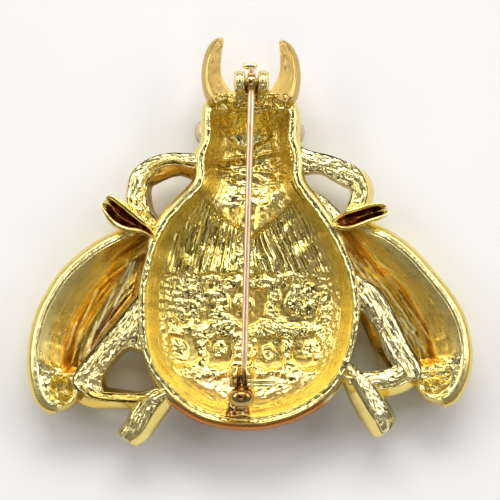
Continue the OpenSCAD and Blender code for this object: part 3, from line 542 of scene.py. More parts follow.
# Wings. Each cross-section runs from the inner edge round the front to the outer wall, over the rim,
# down the smooth slope, through the valley and back up to the inner edge.
WINGS = {
    "left": {
        # Along the wing: where the smooth slope ends, as a share of the way across, and its height there.
        "slope": [(0, 0.3, 3.6), (0.12, 0.26, 4.0), (0.3, 0.3, 4.3), (0.5, 0.34, 4.3), (0.66, 0.42, 4.2),
                  (0.76, 0.56, 4.3), (0.82, 0.6, 4.6), (1, 0.6, 5.0)],
        # Ridges in the valley: from x, y to x, y, and height.
        "ridges": [(-13.53, -1.53, -13.86, -2.5, 0.1), (-12.76, -1.86, -13.86, -4.5, 0.07),
                   (-13.2, -1.86, -14.41, -4.39, 0.07), (-14.85, -4.28, -17.05, -9.34, 0.1),
                   (-17.05, -8.46, -18.26, -12.64, 0.07), (-17.82, -10.44, -18.7, -12.86, 0.1),
                   (-19.14, -8.68, -20.24, -11.76, 0.25), (-18.59, -9.45, -19.36, -11.54, 0.2),
                   (-16.72, -5.05, -18.48, -8.57, 0.2), (-13.6, -3.6, -15.2, -7.0, 0.06),
                   (-15.7, -8.6, -17.4, -11.6, 0.06)],
        "valley_z": 1.75,
        # At the tip: a pocket (x, y, half sizes), a fan of folds (x, y, height, depth), a lip, a ball
        # (x, y, radius) or a knob (x, y, half sizes), a spot of painted shade (x, y, half width), and how much painted
        # shade the valley gets.
        "pocket": (-20.6, -16.2, 1.45, 1.5), "fan": (-21.35, -15.45, 0.45, 1.7), "lip": (-20.4, -14.55),
        "ball": (-21.85, -13.6, 0.42), "knob": None, "painted_dark_spot": (-20.9, -15.9, 1.2), "shade_strength": 0.16,
    },
    "right": {
        "slope": [(0, 0.42, 4.2), (0.12, 0.48, 4.4), (0.3, 0.5, 4.5), (0.5, 0.5, 4.4), (0.66, 0.5, 4.3),
                  (0.76, 0.56, 4.3), (0.82, 0.6, 4.6), (1, 0.6, 5.0)],
        "ridges": [(12.1, -1.86, 15.4, -6.37, 0.06), (12.76, -1.53, 16.17, -6.48, 0.08),
                   (13.53, -1.3, 16.72, -5.16, 0.1), (16.06, -6.15, 18.48, -9.67, 0.09),
                   (15.29, -6.7, 19.14, -11.0, 0.06), (16.83, -6.04, 20.02, -10.77, 0.22),
                   (17.93, -6.37, 20.9, -11.54, 0.24), (15.84, -7.9, 18.37, -11.0, 0.06),
                   (14.74, -3.3, 16.94, -6.04, 0.2), (11.22, -1.4, 13.42, -4.7, 0.06),
                   (18.0, -9.6, 19.8, -12.4, 0.11), (16.9, -10.0, 18.7, -12.6, 0.06)],
        "valley_z": 2.0,
        "pocket": (20.3, -15.75, 1.55, 0.95), "fan": (19.0, -14.9, 0.55, 1.35), "lip": (20.3, -14.3),
        "ball": None, "knob": (20.95, -14.0, 0.75, 0.85), "painted_dark_spot": (20.3, -15.75, 1.6), "shade_strength": 0.1,
    },
}
WING_RIM = [(0.0, -0.17), (0.04, -0.11), (0.12, -0.06), (0.2, -0.015), (0.27, 0.025), (0.31, 0.01),
            (0.36, -0.1), (0.42, -0.15), (0.5, -0.14)]
WING_RIM_Z = 5.7


def wing_top(spec, t, a, x, y, width, rim_z):
    """The wing's hollow at a share t across and a along: its height, and how far each point is in the
    valley, at the tip and on a ridge."""
    edge = table(spec["slope"], a)
    z_edge = table(spec["slope"], a, 2)
    end = ease(0.745, 0.79, a)
    q = np.clip((t - edge) / (1 - edge), 0, 1)
    slope = rim_z - 0.1 - (rim_z - 0.1 - z_edge) * np.clip(t / edge, 0, 1) ** 1.25
    slope += 0.12 * bell(t - edge, 0.05)
    deep = (z_edge - spec["valley_z"]) * (1 - 0.25 * ease(0.16, 0.0, a))
    valley = z_edge - deep * ease(0.0, 0.5, q) * (1 - 0.12 * ease(0.4, 0.75, q))
    valley += (rim_z - 0.7 - spec["valley_z"]) * ease(0.8, 1.0, q) ** 1.5
    z = np.where(t < edge, slope, valley)
    inside = ease(0.02, 0.2, q) * (1 - end)
    # Where the ridges run; the wing gives them a painted highlight.
    ridge_highlight = 0 * x
    for x0, y0, x1, y1, height in spec["ridges"]:
        far = math.hypot(x1 - x0, y1 - y0)
        along = ((x - x0) * (x1 - x0) + (y - y0) * (y1 - y0)) / far
        off = ((x - x0) * (y1 - y0) - (y - y0) * (x1 - x0)) / far
        off += 0.09 * grain(along * 0.6, 0, int(abs(x0) * 10))
        line = inside * ease(-0.25, 0.35, along) * ease(far + 0.25, far - 0.5, along)
        line = line * np.clip(1 - np.abs(off) / (0.17 + 0.04 * grain(along * 2, 0, 91)), 0, 1)
        z = z + line * height
        ridge_highlight = np.maximum(ridge_highlight, ease(0.0, 0.6, line))
    ripples = 0.09 * rough(t * width / 0.8, a * 2.6, 92, 2) + 0.035 * rough(t * width / 0.36, a * 3, 93, 2)
    z += inside * ripples
    # The slope carries a few lengthwise scratches and a crinkled patch.
    z += (1 - inside) * ease(0.06, 0.15, t) * 0.05 * grain(t * width / 0.4, a * 7, 94)
    patch = ease(0.35, 0.55, a) * ease(0.85, 0.7, a) * ease(0.1, 0.25, t) * ease(edge + 0.05, edge - 0.1, t)
    z += patch * 0.05 * creased(t * width * 1.3, a * 9, 95)
    # Bridge and pocket at the tip.
    bridge = rim_z - 0.45 - 0.15 * np.sin(np.pi * t)
    z = z * (1 - end) + bridge * end
    cx, cy, rx, ry = spec["pocket"]
    fx, fy, facet, depth = spec["fan"]
    turn = np.arctan2(y - fy, x - fx)
    r = np.hypot((x - cx) / rx, (y - cy) / ry) + 0.2 * grain(x * 0.9, y * 0.9, 101)
    r += 0.1 * grain(x * 2.2, y * 2.2, 103)
    folds = facet * (crest(turn * 1.25 + 0.3) + 0.5 * rough(x * 1.2, y * 1.2, 96))
    z -= (depth - folds) * ease(1.1, 0.25, r)
    if spec["ball"]:  # a hole where the folds of this tip meet
        z -= 0.7 * ease(0.75, 0.2, np.hypot(x - fx, y - fy))
    z += 0.12 * end * creased(x * 0.9, y * 0.9, 102) * ease(0.8, 1.2, r)
    rim_end = ease(0.955, 0.975, a)
    z = z * (1 - rim_end) + (rim_z - 0.02) * rim_end
    lip = np.hypot((x - spec["lip"][0]) / 1.3, (y - spec["lip"][1]) / 0.42)
    z += 0.4 * ease(1.0, 0.2, lip) + 0.14 * rough(x * 2.3, y * 2.3, 97) * ease(1.8, 0.8, lip)
    if spec["ball"]:
        cx, cy, radius = spec["ball"]
        z += 0.55 * np.sqrt(np.clip(1 - np.hypot(x - cx, y - cy) ** 2 / radius ** 2, 0, 1))
    if spec["knob"]:
        cx, cy, rx, ry = spec["knob"]
        box = np.maximum(np.abs(x - cx) / rx, np.abs(y - cy) / ry)
        z += 0.7 * ease(1.05, 0.8, box) + 0.22 * creased(x * 1.3, y * 1.3, 98, 2) * ease(1.2, 0.7, box)
    return z, inside, end, ridge_highlight


def wing(side, sizes, count=250, across=130):
    """One wing as a closed skin, line by line across it."""
    spec = WINGS[side]
    sign = -1 if side == "left" else 1
    rim_z = sizes.wing_rim_z / MM
    bulge = sizes.wing_flare / MM
    outer, inner = (even_line(edge, count) for edge in EDGES["wing_" + side])
    a = np.linspace(0, 1, count)
    out = settle(outward(outer), 4, closed=False) * sign
    to_inner = settle(outward(inner), 4, closed=False) * -sign
    gap = inner - outer
    width = np.linalg.norm(gap, axis=1)
    low_z = 0.05 + 1.9 * ease(0.2, 0.0, a) + 1.6 * ease(0.82, 1.0, a)
    skin = Skin(count, "grain", "deep", "satin", "pale", "hot", "copper", "streak")
    plain = {"deep": 0.3, "satin": 0.5, "pale": 0.08, "streak": 0.45}

    # Front: from the inner edge down under the wing and up the outer wall.
    tip = ease(0.76, 0.84, a)[:, None]
    for u in np.linspace(0, 1, 30):
        drop = np.sin(np.pi * u) ** 0.55
        xy = outer + gap * (1 - u) + out * bulge * 0.75 * ease(0.7, 1.0, u)
        skin.add(xy + to_inner * (bulge * 0.6 * tip * ease(0.3, 0.0, u)), 2.9 + (low_z - 2.9) * drop, **plain)
    for share, level in ((0.93, 3.5), (1.0, 4.1), (1.0, 4.6), (0.9, 4.95), (0.68, 5.2), (0.38, 5.4), (0.15, 5.5)):
        skin.add(outer + out * bulge * share, level + rim_z - WING_RIM_Z, **plain)
    for inset, lift in WING_RIM:
        xy = outer - out * inset
        pebbles = 0.03 * rough(xy[:, 0] * 2.4, xy[:, 1] * 2.4, 99, 2)
        skin.add(xy + out * (pebbles * bell(inset - 0.2, 0.2))[:, None],
                 rim_z + lift + pebbles * bell(inset - 0.2, 0.15), pale=0.6, streak=0.3)

    # Back: slope, valley and tip, to the inner edge and down its wall.
    start = outer - out * 0.55
    px, py, wide = spec["painted_dark_spot"]
    for t in np.linspace(0, 1, across):
        xy = start + (inner - start) * t
        x, y = xy.T
        z, inside, end, ridge_highlight = wing_top(spec, t, a, x, y, width, rim_z)
        slope = (1 - inside) * (1 - end)
        # Painted shade: a dark spot with an orange tint in the tip's pocket, and browner valley floors between the
        # ridges; the ridges get a painted highlight.
        painted_dark_spot = 0.15 * end * ease(1.5, 0.7, np.hypot((x - px) / wide, (y - py) / 1.2))
        painted_dark_spot = painted_dark_spot * ease(-0.5, 0.1, grain(x * 1.6, y * 1.6, 104))
        dark = spec["shade_strength"] + 0.4 * ease(0.0, 0.6, grain(t * width / 0.3, a * 3.2, 105))
        dull = inside * (1 - ridge_highlight)
        deep = inside * (1 - 0.9 * ridge_highlight) + 1.1 * slope * ease(0.05, 0.3, t)
        skin.add(xy, z, grain=0.06 + 0.25 * end, deep=deep, streak=0.3 + 0.5 * deep,
                 satin=0.6 * slope + 0.05 * dull + inside * ridge_highlight, pale=0.95 * ridge_highlight + 0.3 * (end - painted_dark_spot),
                 hot=0.17 * slope + painted_dark_spot + dark * dull, copper=0.4 * painted_dark_spot)
    for share, level in ((0.25, 5.1), (0.6, 4.7), (0.9, 4.1), (0.8, 3.4)):
        skin.add(inner + to_inner * (bulge * 0.7 * tip * share), level + rim_z - WING_RIM_Z, **plain)
    return skin.loft("wing_" + side, skin.sections(), np.linspace(0, 20, count), 0.06)


# Limbs and horns. A limb's cross-section: a back face between two edges, and walls that spread to the front.
LIMB_SIDE = [(0.0, 0.0), (0.25, 0.3), (0.6, 0.62), (0.85, 0.86), (0.97, 0.97)]
LIMB_FRONT = mirrored([(0.01, 0.35), (0.07, 0.7), (0.2, 0.93), (0.35, 1.0), (0.5, 1.02)])[::-1]


def limb(name, count, top, left, right, heights, crinkle, ends=(0, 0), ridge=None, seed=0,
         round_top=1.0, satin=0.0, shade=(0, 0), tilt=0.0, pale=0.4, edges=None):
    """left, right: rows of (along, share across) where the back face begins and ends.
    heights: rows of (along, back, widest, front). crinkle: depth of its lengthwise crinkles.
    shade: how much painted shade the wall beside each edge gets. tilt: how far the back face leans to its second edge."""
    first, second = (even_line(edge, count) for edge in edges or EDGES[name])
    a = np.linspace(0, 1, count)
    gap = second - first
    width = np.linalg.norm(gap, axis=1)
    ta, tb = table(left, a), table(right, a)
    back, wide, front = (table(heights, a, k) for k in (1, 2, 3))
    s = a * np.linalg.norm(np.diff(first, axis=0), axis=1).sum()
    cast = satin == 0
    skin = Skin(count, "grain", "satin", "hot", "pale")

    def add(t, z, **marks):
        skin.add(first + gap * np.broadcast_to(t, count)[:, None], z, **marks)

    def wall(drop):
        return wide + (back - 0.12 - wide) * drop

    # The wall beside the first edge, darkened by painted shade.
    for share, drop in LIMB_SIDE:
        add(ta * share, wall(drop), grain=0.05, hot=shade[0] * (1 - 0.3 * share))
    for u in np.linspace(0, 1, top):
        t = ta + (tb - ta) * u
        arch = np.sin(np.pi * u)
        crown = (0.1 * arch ** 0.5 + 0.22 * arch - 0.2) * round_top
        lines = creased(t * width / 0.75 + seed, s * 0.4, seed, 3)
        lines = lines + 0.5 * grain(t * width / 0.24 + seed, s * 1.7, seed + 1)
        lift = crinkle * lines + tilt * (0.5 - u)
        if ridge is not None:
            at, high, thick = ridge
            lift = lift + high * bell(u - at, thick)
        # The back face is made paler by pale: a painted highlight.
        add(t, back - 0.1 + crown + lift * (0.35 + 0.65 * arch),
            grain=0.35 * cast, satin=satin * ease(0.12, 0.2, u), pale=pale * cast)
    # The wall beside the second edge, darkened by painted shade.
    for share, drop in LIMB_SIDE[::-1]:
        share = 1 - share
        add(tb + (1 - tb) * share, wall(drop), grain=0.1, hot=shade[1] * (0.7 + 0.3 * share))
    for t, drop in LIMB_FRONT:
        add(t, wide + (front - wide) * drop, grain=0.05)
    sections = skin.sections()
    middle = sections.mean(1, keepdims=True)
    for share, from_end in ((ends[0], a), (ends[1], 1 - a)):
        if share > 0:
            u = np.clip(from_end / share, 0, 1)
            scale = np.sqrt(np.clip(1 - (1 - u) ** 2, 0, 1)) * 0.82 + 0.18
            sections = middle + (sections - middle) * scale[:, None, None]
    return skin.loft(name, sections, s, 0.05, streak=0.6 if cast else 0.3)


FOOT_WALL = [(0.3, 0.0), (0.12, 0.12), (0.03, 0.35), (0.0, 0.62), (0.0, 0.85), (0.015, 0.96)]
FOOT_RIM = [(0.25, 0.06), (0.5, 0.12), (0.75, 0.08), (1.0, -0.04)]


def front_foot(name, side, count=150):
    """The curled foot: a trough with thin walls, a fold along its middle and two lobes at its far end."""
    first, second = (even_line(edge, count) for edge in EDGES[name])
    a = np.linspace(0, 1, count)
    gap = second - first
    width = np.maximum(np.linalg.norm(gap, axis=1), 0.2)
    axis = first[-1] + second[-1] - first[0] - second[0]
    axis /= np.linalg.norm(axis)
    low, rim = 4.6, 6.75 + 0.4 * ease(0.0, 0.35, a)
    hollow = ease(0.03, 0.3, a) * ease(1.0, 0.86, a)
    skin = Skin(count, "deep", "hot")

    # Each line's deep mark also gives it as much painted shade.
    def add(t, z, deep=0.0):
        t = np.broadcast_to(t, count)
        lobe = np.sqrt(np.clip(1 - ((np.abs(t - 0.5) - 0.26) / 0.29) ** 2, 0, 1))
        pull = (0.35 - 2.3 * (1 - lobe)) * ease(0.72, 1.0, a)
        skin.add(first + gap * t[:, None] + axis * pull[:, None], z, deep=deep, hot=deep)

    wall = np.clip((0.62 - 0.14 * side) / width, 0.02, 0.32)
    for t, share in FOOT_WALL:
        add(t, low + (rim - low) * share)
    for share, lift in FOOT_RIM:
        add(wall * share, rim + lift)
    for u in np.linspace(0.02, 0.98, 33):
        t = wall + (1 - 2 * wall) * u
        cup = np.sin(np.pi * u) ** 0.55
        fold = bell(u - 0.52, 0.075) * ease(0.2, 0.5, a)
        folds = 0.22 * creased(t * width * 1.1, a * 2.5, 7 + side, 2)
        z = rim - 0.05 - hollow * (1.55 * cup - 0.9 * fold - folds * cup)
        # Inside the hollow: deeper colour and painted shade, less along the fold.
        add(t, z, hollow * ease(0.0, 0.12, u) * ease(1.0, 0.88, u) * (1 - 0.6 * fold))
    for share, lift in FOOT_RIM[::-1]:
        add(1 - wall * share, rim + lift)
    for t, share in FOOT_WALL[::-1]:
        add(1 - t, low + (rim - low) * share)
    sections = skin.sections()
    middle = sections[:, :, 2].mean(1, keepdims=True)
    u = np.clip((1 - a) / 0.07, 0, 1)
    scale = (np.sqrt(1 - (1 - u) ** 2) * 0.6 + 0.4)[:, None]
    sections[:, :, 2] = middle + (sections[:, :, 2] - middle) * scale
    return skin.loft(name, sections, a * 6, 0.12, grain=0.1, streak=0.5)


# Pieces of the fittings.
def tube(name, path, radii, turns=24):
    """A round wire along points, with a radius at each."""
    path, radii = np.array(path, float), np.array(radii, float)[:, None, None]
    d = np.gradient(path, axis=0)
    d /= np.linalg.norm(d, axis=1, keepdims=True)
    side = np.cross(d, [0.0, 0.0, 1.0])
    side /= np.maximum(np.linalg.norm(side, axis=1, keepdims=True), 1e-9)
    up = np.cross(side, d)
    a = np.linspace(0, 2 * np.pi, turns, endpoint=False)[None, :, None]
    return loft(name, path[:, None] + (np.cos(a) * side[:, None] + np.sin(a) * up[:, None]) * radii)


def slab(name, outline, low, high, round_over=0.08, steps=3):
    """A flat piece with rounded upper and lower edges from an outline seen from above."""
    outline = np.array(outline, float)
    push = settle(outward(outline, closed=True), 1)
    x, y = outline.T
    if np.sum(x * np.roll(y, -1) - y * np.roll(x, -1)) > 0:
        push = -push
    sections = []
    angles = np.linspace(0, np.pi / 2, steps + 1)
    for level, sign, turn in ((low, 1, angles), (high, -1, angles[::-1])):
        for a in turn:
            z = level + sign * round_over * (1 - math.cos(a))
            inset = outline - push * (round_over * (1 - math.sin(a)))
            sections.append(np.column_stack([inset, np.full(len(outline), z)]))
    return loft(name, np.array(sections))


def cushion(name, outline, top, bottom, rings=30):
    """A solid over an outline seen from above, with its own height at every point of its back."""
    outline = np.array(outline, float)
    centre = outline.mean(0)
    base = bottom if callable(bottom) else lambda x, y: bottom + 0 * x
    rows = []
    for height, shares in ((base, (0.02, 0.3, 0.55, 0.8, 1.0)), (top, np.linspace(1, 0.01, rings))):
        for v in shares:
            x, y = (centre + (outline - centre) * v).T
            z = height(x, y) - (0.25 * ease(0.93, 1.0, v) if height is top else 0)
            rows.append(np.column_stack([x, y, z]))
    grainy = np.where(np.arange(len(rows)) > 4, 0.8, 0.1)[:, None]
    return loft(name, np.array(rows), {"grain": np.broadcast_to(grainy, (len(rows), len(outline)))})


def box_outline(x0, x1, y0, y1, corner=0.2, steps=4):
    """A rectangle seen from above, with round corners."""
    points = []
    left, right, low, high = x0 + corner, x1 - corner, y0 + corner, y1 - corner
    for turn, (cx, cy) in enumerate(((right, high), (left, high), (left, low), (right, low))):
        for k in range(steps + 1):
            a = math.radians(90 * turn + 90 * k / steps)
            points.append((cx + corner * math.cos(a), cy + corner * math.sin(a)))
    return points


def box_cushion(name, box, extra, count, top, bottom, rings):
    """A cushion over a rounded box, whose outline also passes through an extra point."""
    return cushion(name, even_line(box_outline(*box) + [extra], count)[:-1], top, bottom, rings)


EAR_PROFILE = mirrored([(0.0, 0.5), (0.02, 0.4), (0.06, 0.29), (0.12, 0.17), (0.19, 0.08), (0.235, 0.06),
                        (0.26, 0.22), (0.285, 0.2), (0.32, 0.05), (0.4, 0.01), (0.5, 0.0)])


def hinge_ear(name, x_middle, z, foot_z, width=1.2, radius=1.27, foot_front=0.15):
    """One ear: a rounded tab with a soft edge and a groove round it near each face."""
    y = HINGE[1]
    a = np.radians(np.linspace(-10, 190, 61))
    arc = np.column_stack([y + radius * np.cos(a), z + radius * np.sin(a)])
    front_foot_point, back_foot_point = [y + foot_front, foot_z], [y - radius, foot_z]
    front = np.linspace(front_foot_point, arc[0], 14)[:-1]
    back = np.linspace(arc[-1], back_foot_point, 12)[1:]
    foot = np.linspace(back_foot_point, front_foot_point, 8)[1:-1]
    outline = np.vstack([front, arc, back, foot])
    push = settle(outward(outline, closed=True), 4)
    soft = 0.35 + 0.65 * ease(0.15, 0.6, (outline[:, 1] - z) / radius + 0.35)
    rows = []
    for share, inset in EAR_PROFILE:
        yz = outline + push * (inset * soft)[:, None]
        rows.append(np.column_stack([np.full(len(yz), x_middle + (share - 0.5) * width), yz]))
    return loft(name, np.array(rows))


def arc_ring(name, z, low, high, inner, outer, start, lip=0.12, front=0.0):
    """A ring round the catch's axis, open at its top, with rounded edges. start: half the opening's end,
    in degrees. front: how far its far edge is drawn in."""
    y0, y1 = low, high
    profile = np.array([
        (y0, inner + lip), (y0 + lip, inner), (y1 - lip, inner), (y1, inner + lip),
        (y1, max(outer - lip - front, inner + lip)), (y1 - 0.15 - front * 0.25, outer - front * 0.45),
        (y1 - 0.3 - front * 0.6, outer - front * 0.12), (y1 - lip - front * 0.9 - 0.2, outer),
        (y0 + lip, outer), (y0 + lip * 0.3, outer - lip * 0.3), (y0, outer - lip)])
    rows = []
    for a in np.radians(np.linspace(start, 540 - start, 64)):
        along, r = profile.T
        rows.append(np.column_stack([CATCH_X + r * math.cos(a), along, z + r * math.sin(a)]))
    return loft(name, np.array(rows))


# Shader maths.
class Value:
    """A shader socket that can be used in sums, and that adds any other node beside it."""

    def __init__(self, tree, socket=None):
        self.tree, self.socket = tree, socket

    def put(self, place, value):
        """Links an input to a value, or sets it."""
        if isinstance(value, Value):
            self.tree.links.new(value.socket, place)
        else:
            place.default_value = (*value, 1) if place.type == "RGBA" else value

    def node(self, kind, settings=(), out=0, **inputs):
        """A new node. Inputs go by name, or by number after an i."""
        made = self.tree.nodes.new(kind)
        for key, value in dict(settings).items():
            setattr(made, key, value)
        for key, value in inputs.items():
            self.put(made.inputs[int(key[1:]) if key[1:].isdigit() else key.replace("_", " ")], value)
        return Value(self.tree, made.outputs[out])

    def sum(self, operation, a, b):
        return self.node("ShaderNodeMath", {"operation": operation}, i0=a, i1=b)

    def __add__(self, other):
        return self.sum("ADD", self, other)

    def __mul__(self, other):
        return self.sum("MULTIPLY", self, other)

    def clamp(self):
        return self.node("ShaderNodeClamp", Value=self)

    def blend(self, first, second):
        """Colour between two others, by this value."""
        return self.node("ShaderNodeMix", {"data_type": "RGBA"}, out=2, i0=self, i6=first, i7=second)

    def spread(self, low, high, to_low=0.0, to_high=1.0):
        return self.node("ShaderNodeMapRange", {"clamp": True, "interpolation_type": "SMOOTHSTEP"},
                         Value=self, From_Min=low, From_Max=high, To_Min=to_low, To_Max=to_high)

    def number(self, name):
        return self.node("ShaderNodeAttribute", {"attribute_name": name}, out=2)

    def noise(self, where, scale, detail=2.0, roughness=0.5):
        return self.node("ShaderNodeTexNoise", {"noise_dimensions": "3D"},
                         Vector=where, Scale=scale, Detail=detail, Roughness=roughness)

    def brushed(self, stretch, where=None, scale=1.0, detail=2.0, roughness=0.5):
        """Noise that is stretched along the brushed run of a piece, or along its own axes."""
        where = where or self.node("ShaderNodeAttribute", {"attribute_name": "run"}, out=1)
        return self.noise(self.node("ShaderNodeMapping", Vector=where, Scale=stretch), scale, detail, roughness)

    def bump(self, strength, distance, height):
        return self.node("ShaderNodeBump", Strength=strength, Distance=distance, Height=height)


# Looks. Each gives the inputs of the main shader, from Object coordinates and the marks of a piece.
def cast_gold(tools, where, colours):
    """Gold plate over rough casting: grainy floors, streaked walls, deeper colour in the hollows, and painted
    highlights and painted shade where marked.
    """
    grainy, streak, deep, hot, copper, satin, pale, hair, phase = (
        tools.number(key) for key in ("grain", "streak", "deep", "hot", "copper", "satin", "pale", "hair", "phase"))
    cloud = tools.noise(where, 420.0, 3.0)
    speck = tools.noise(where, 1700.0)
    fine = tools.noise(where, 4600.0)
    lines = tools.brushed((0.22, 8.0, 1.0))
    tone = cloud.spread(0.35, 0.68) * 0.25 + deep * 0.75 + lines.spread(0.42, 0.6) * streak * 0.55 + 0.08
    base = tone.clamp().blend(colours.gold, colours.gold_deep)
    # Paler where marked: painted highlights, and paler specks at random on the grain.
    base = (speck.spread(0.5, 0.72) * grainy * 0.5 + pale).clamp().blend(base, colours.gold_pale)
    base = copper.blend(base, colours.copper)
    # Browner where marked: painted shade in folds, hollows, pockets, slots, feet and the knuckle, and plainly browner
    # plate on the horns and the catch's hood.
    base = hot.spread(0.1, 0.7).blend(base, colours.gold_hot)
    wear = speck.spread(0.35, 0.7, -0.03, 0.03) + grainy * -0.08 + satin * 0.25
    hairs = phase.sum("PINGPONG", phase, 0.5) * hair * 2.6
    height = speck * (grainy * 1.1 + 0.01) + fine * (grainy * 0.2 + 0.004) + lines * streak * 0.8 + hairs
    return {"Base Color": base, "Roughness": (wear + cloud.spread(0.3, 0.7, 0.13, 0.2)).clamp(),
            "Normal": tools.bump(1.0, 0.0001, height), "Metallic": 1.0}


def satin_gold(tools, where, colours):
    """Brushed gold plate on the collars of the stones."""
    fine = tools.noise(where, 5200.0, 3.0, 0.6)
    brushed = tools.brushed((0.8, 7.0, 1.0), detail=3.0, roughness=0.6)
    base = tools.noise(where, 500.0, 3.0).spread(0.3, 0.65).blend(colours.satin, colours.gold_deep)
    return {"Base Color": base, "Roughness": fine.spread(0.3, 0.7, 0.42, 0.52),
            "Normal": tools.bump(0.6, 0.00002, fine * 0.4 + brushed * 0.6), "Metallic": 1.0}


def polished_gold(tools, where, colours, plate=("fitting", "gold"), roughness=(0.16, 0.28)):
    """Polished gold plate on the ears and the lever, with fine handling marks."""
    marks = tools.brushed((1.0, 0.25, 1.0), where, 6000.0, 3.0, 0.6)
    first, second = (getattr(colours, key) for key in plate)
    base = tools.noise(where, 700.0, 3.0).spread(0.35, 0.7).blend(first, second)
    # Painted dark reflection where marked, on the catch's ball.
    base = tools.number("hot").blend(base, colours.gold_hot)
    return {"Base Color": base, "Roughness": marks.spread(0.35, 0.7, *roughness),
            "Normal": tools.bump(0.3, 0.00001, marks), "Metallic": 1.0}


def catch_gold(tools, where, colours):
    """Darker and smoother plate on the catch."""
    return polished_gold(tools, where, colours, ("catch", "catch"), (0.1, 0.2))


def rose_metal(tools, where, colours):
    """Rose gold wire, drawn lengthwise."""
    drawn = tools.brushed((1.0, 0.06, 1.0), where, 5200.0, 2.0, 0.6)
    base = tools.noise(where, 300.0).spread(0.35, 0.7).blend(colours.rose, colours.rose_pale)
    return {"Base Color": base, "Roughness": drawn.spread(0.3, 0.7, 0.3, 0.42),
            "Normal": tools.bump(0.4, 0.00001, drawn), "Metallic": 1.0}


def peach_stone(tools, where, colours):
    """Milky peach cabochon with faint swirls, and a painted shadow where marked."""
    swirl = tools.noise(where, 500.0, 4.0, 0.6)
    base = swirl.spread(0.35, 0.68).blend(colours.eye, (0.74, 0.57, 0.38))
    # Painted shadow: near black-brown where marked.
    base = tools.number("hot").blend(base, (0.09, 0.055, 0.025))
    return {"Base Color": base, "Roughness": tools.noise(where, 3000.0).spread(0.3, 0.7, 0.05, 0.12),
            "IOR": 1.52, "Coat Weight": 0.6, "Coat Roughness": 0.04}


def clear_stone(tools, where, colours):
    """Clear cut stone with a trace of cloud."""
    cloud = tools.noise(where, 900.0, 3.0)
    base = cloud.spread(0.3, 0.75).blend((0.96, 0.98, 1.0), (0.86, 0.92, 0.95))
    return {"Base Color": base, "Roughness": cloud.spread(0.3, 0.7, 0.01, 0.05), "IOR": 1.65,
            "Transmission Weight": 0.85}


def foam_floor(tools, where, colours):
    """Plain pale studio floor."""
    base = tools.noise(where, 30.0, 3.0).spread(0.3, 0.7).blend(colours.floor, [0.98 * c for c in colours.floor])
    return {"Base Color": base, "Roughness": 0.75, "Specular IOR Level": 0.3}


LOOKS = (cast_gold, satin_gold, polished_gold, catch_gold, rose_metal, peach_stone, clear_stone, foam_floor)


def look(name):
    """The material of this name, made when it is first asked for."""
    material = bpy.data.materials.get(name)
    if not material:
        material = bpy.data.materials.new(name)
        material.use_nodes = True
        tree = material.node_tree
        shader = next(n for n in tree.nodes if n.type == "BSDF_PRINCIPLED")
        tools = Value(tree)
        recipe = next(recipe for recipe in LOOKS if recipe.__name__ == name)
        inputs = recipe(tools, tools.node("ShaderNodeTexCoord", out=3), bpy.context.scene.brooch_colours)
        for key, value in inputs.items():
            tools.put(shader.inputs[key], value)
    return material


def finish(piece, material, node, body="brooch"):
    """Gives a piece its material and body, and hides the solid that it stands for."""
    piece.data.materials.clear()
    piece.data.materials.append(look(material))
    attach(piece, body)
    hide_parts(node)


def finish_cast(piece):
    finish(piece, "cast_gold", "casting")


# Settings that a user would change.
def length(name, description, default):
    return bpy.props.FloatProperty(name=name, description=description, default=default,
                                   unit="LENGTH", subtype="DISTANCE")


def colour(name, description, *default):
    return bpy.props.FloatVectorProperty(name=name, description=description, default=default,
                                         size=3, subtype="COLOR", min=0, max=1)


class BroochSizes(bpy.types.PropertyGroup):
    rim_z: length("Rim height", "Height of the body's rim over the surface it lies on", 0.0064)
    rim_w: length("Rim width", "Width of the flat rim", 0.00062)
    flare: length("Wall bulge", "How far the outer wall bulges past the rim", 0.00065)
    wing_rim_z: length("Wing rim height", "Height of the wings' rims", 0.0057)
    wing_flare: length("Wing bulge", "How far the wings' outer walls bulge past their rims", 0.00075)
    pin_z: length("Pin height", "Height of the pin's middle line", 0.00835)
    wire_d: length("Wire", "Diameter of the pin's wire", 0.00074)
    leg_crinkle: length("Leg crinkle", "Depth of the crinkles along the legs", 0.00015)
    key_light: bpy.props.FloatProperty(
        name="Key light", description="Strength of the large soft light beyond the head", default=6.5, min=0)
    side_light: bpy.props.FloatProperty(
        name="Side lights", description="Strength of the two side lights", default=2.9, min=0)


class BroochColours(bpy.types.PropertyGroup):
    gold: colour("Gold", "Colour of the gold plate", 0.90, 0.78, 0.29)
    gold_deep: colour("Deep gold", "Colour of the plate in the hollows", 0.86, 0.60, 0.12)
    # Pale gold: paler plate where marked, mostly painted highlights.
    gold_pale: colour("Pale gold", "Colour of worn and satin plate", 0.93, 0.85, 0.50)
    satin: colour("Satin gold", "Colour of the stones' collars", 0.62, 0.50, 0.24)
    # Brown used for painted shade in folds, hollows, pockets, slots and feet, for a painted dark reflection on the
    # catch's ball, and for browner plate on the horns and the hood.
    gold_hot: colour("Brown gold", "Colour of the plate deep in folds and feet", 0.36, 0.14, 0.045)
    # Orange tint on the front's edge below the tail, in the wings' painted dark spots and on the eye cups.
    copper: colour("Copper edge", "Colour of the front's edge below the tail", 0.60, 0.23, 0.045)
    fitting: colour("Fittings", "Colour of the polished fittings", 0.90, 0.79, 0.42)
    catch: colour("Catch", "Colour of the catch's hood and ball", 0.52, 0.35, 0.12)
    rose: colour("Rose gold", "Colour of the pin's wire", 0.88, 0.62, 0.40)
    rose_pale: colour("Pale rose gold", "Lighter areas of the pin's wire", 0.93, 0.77, 0.54)
    eye: colour("Eyes", "Colour of the eye stones", 0.60, 0.44, 0.28)
    floor: colour("Floor", "Colour of the floor", 0.92, 0.91, 0.885)


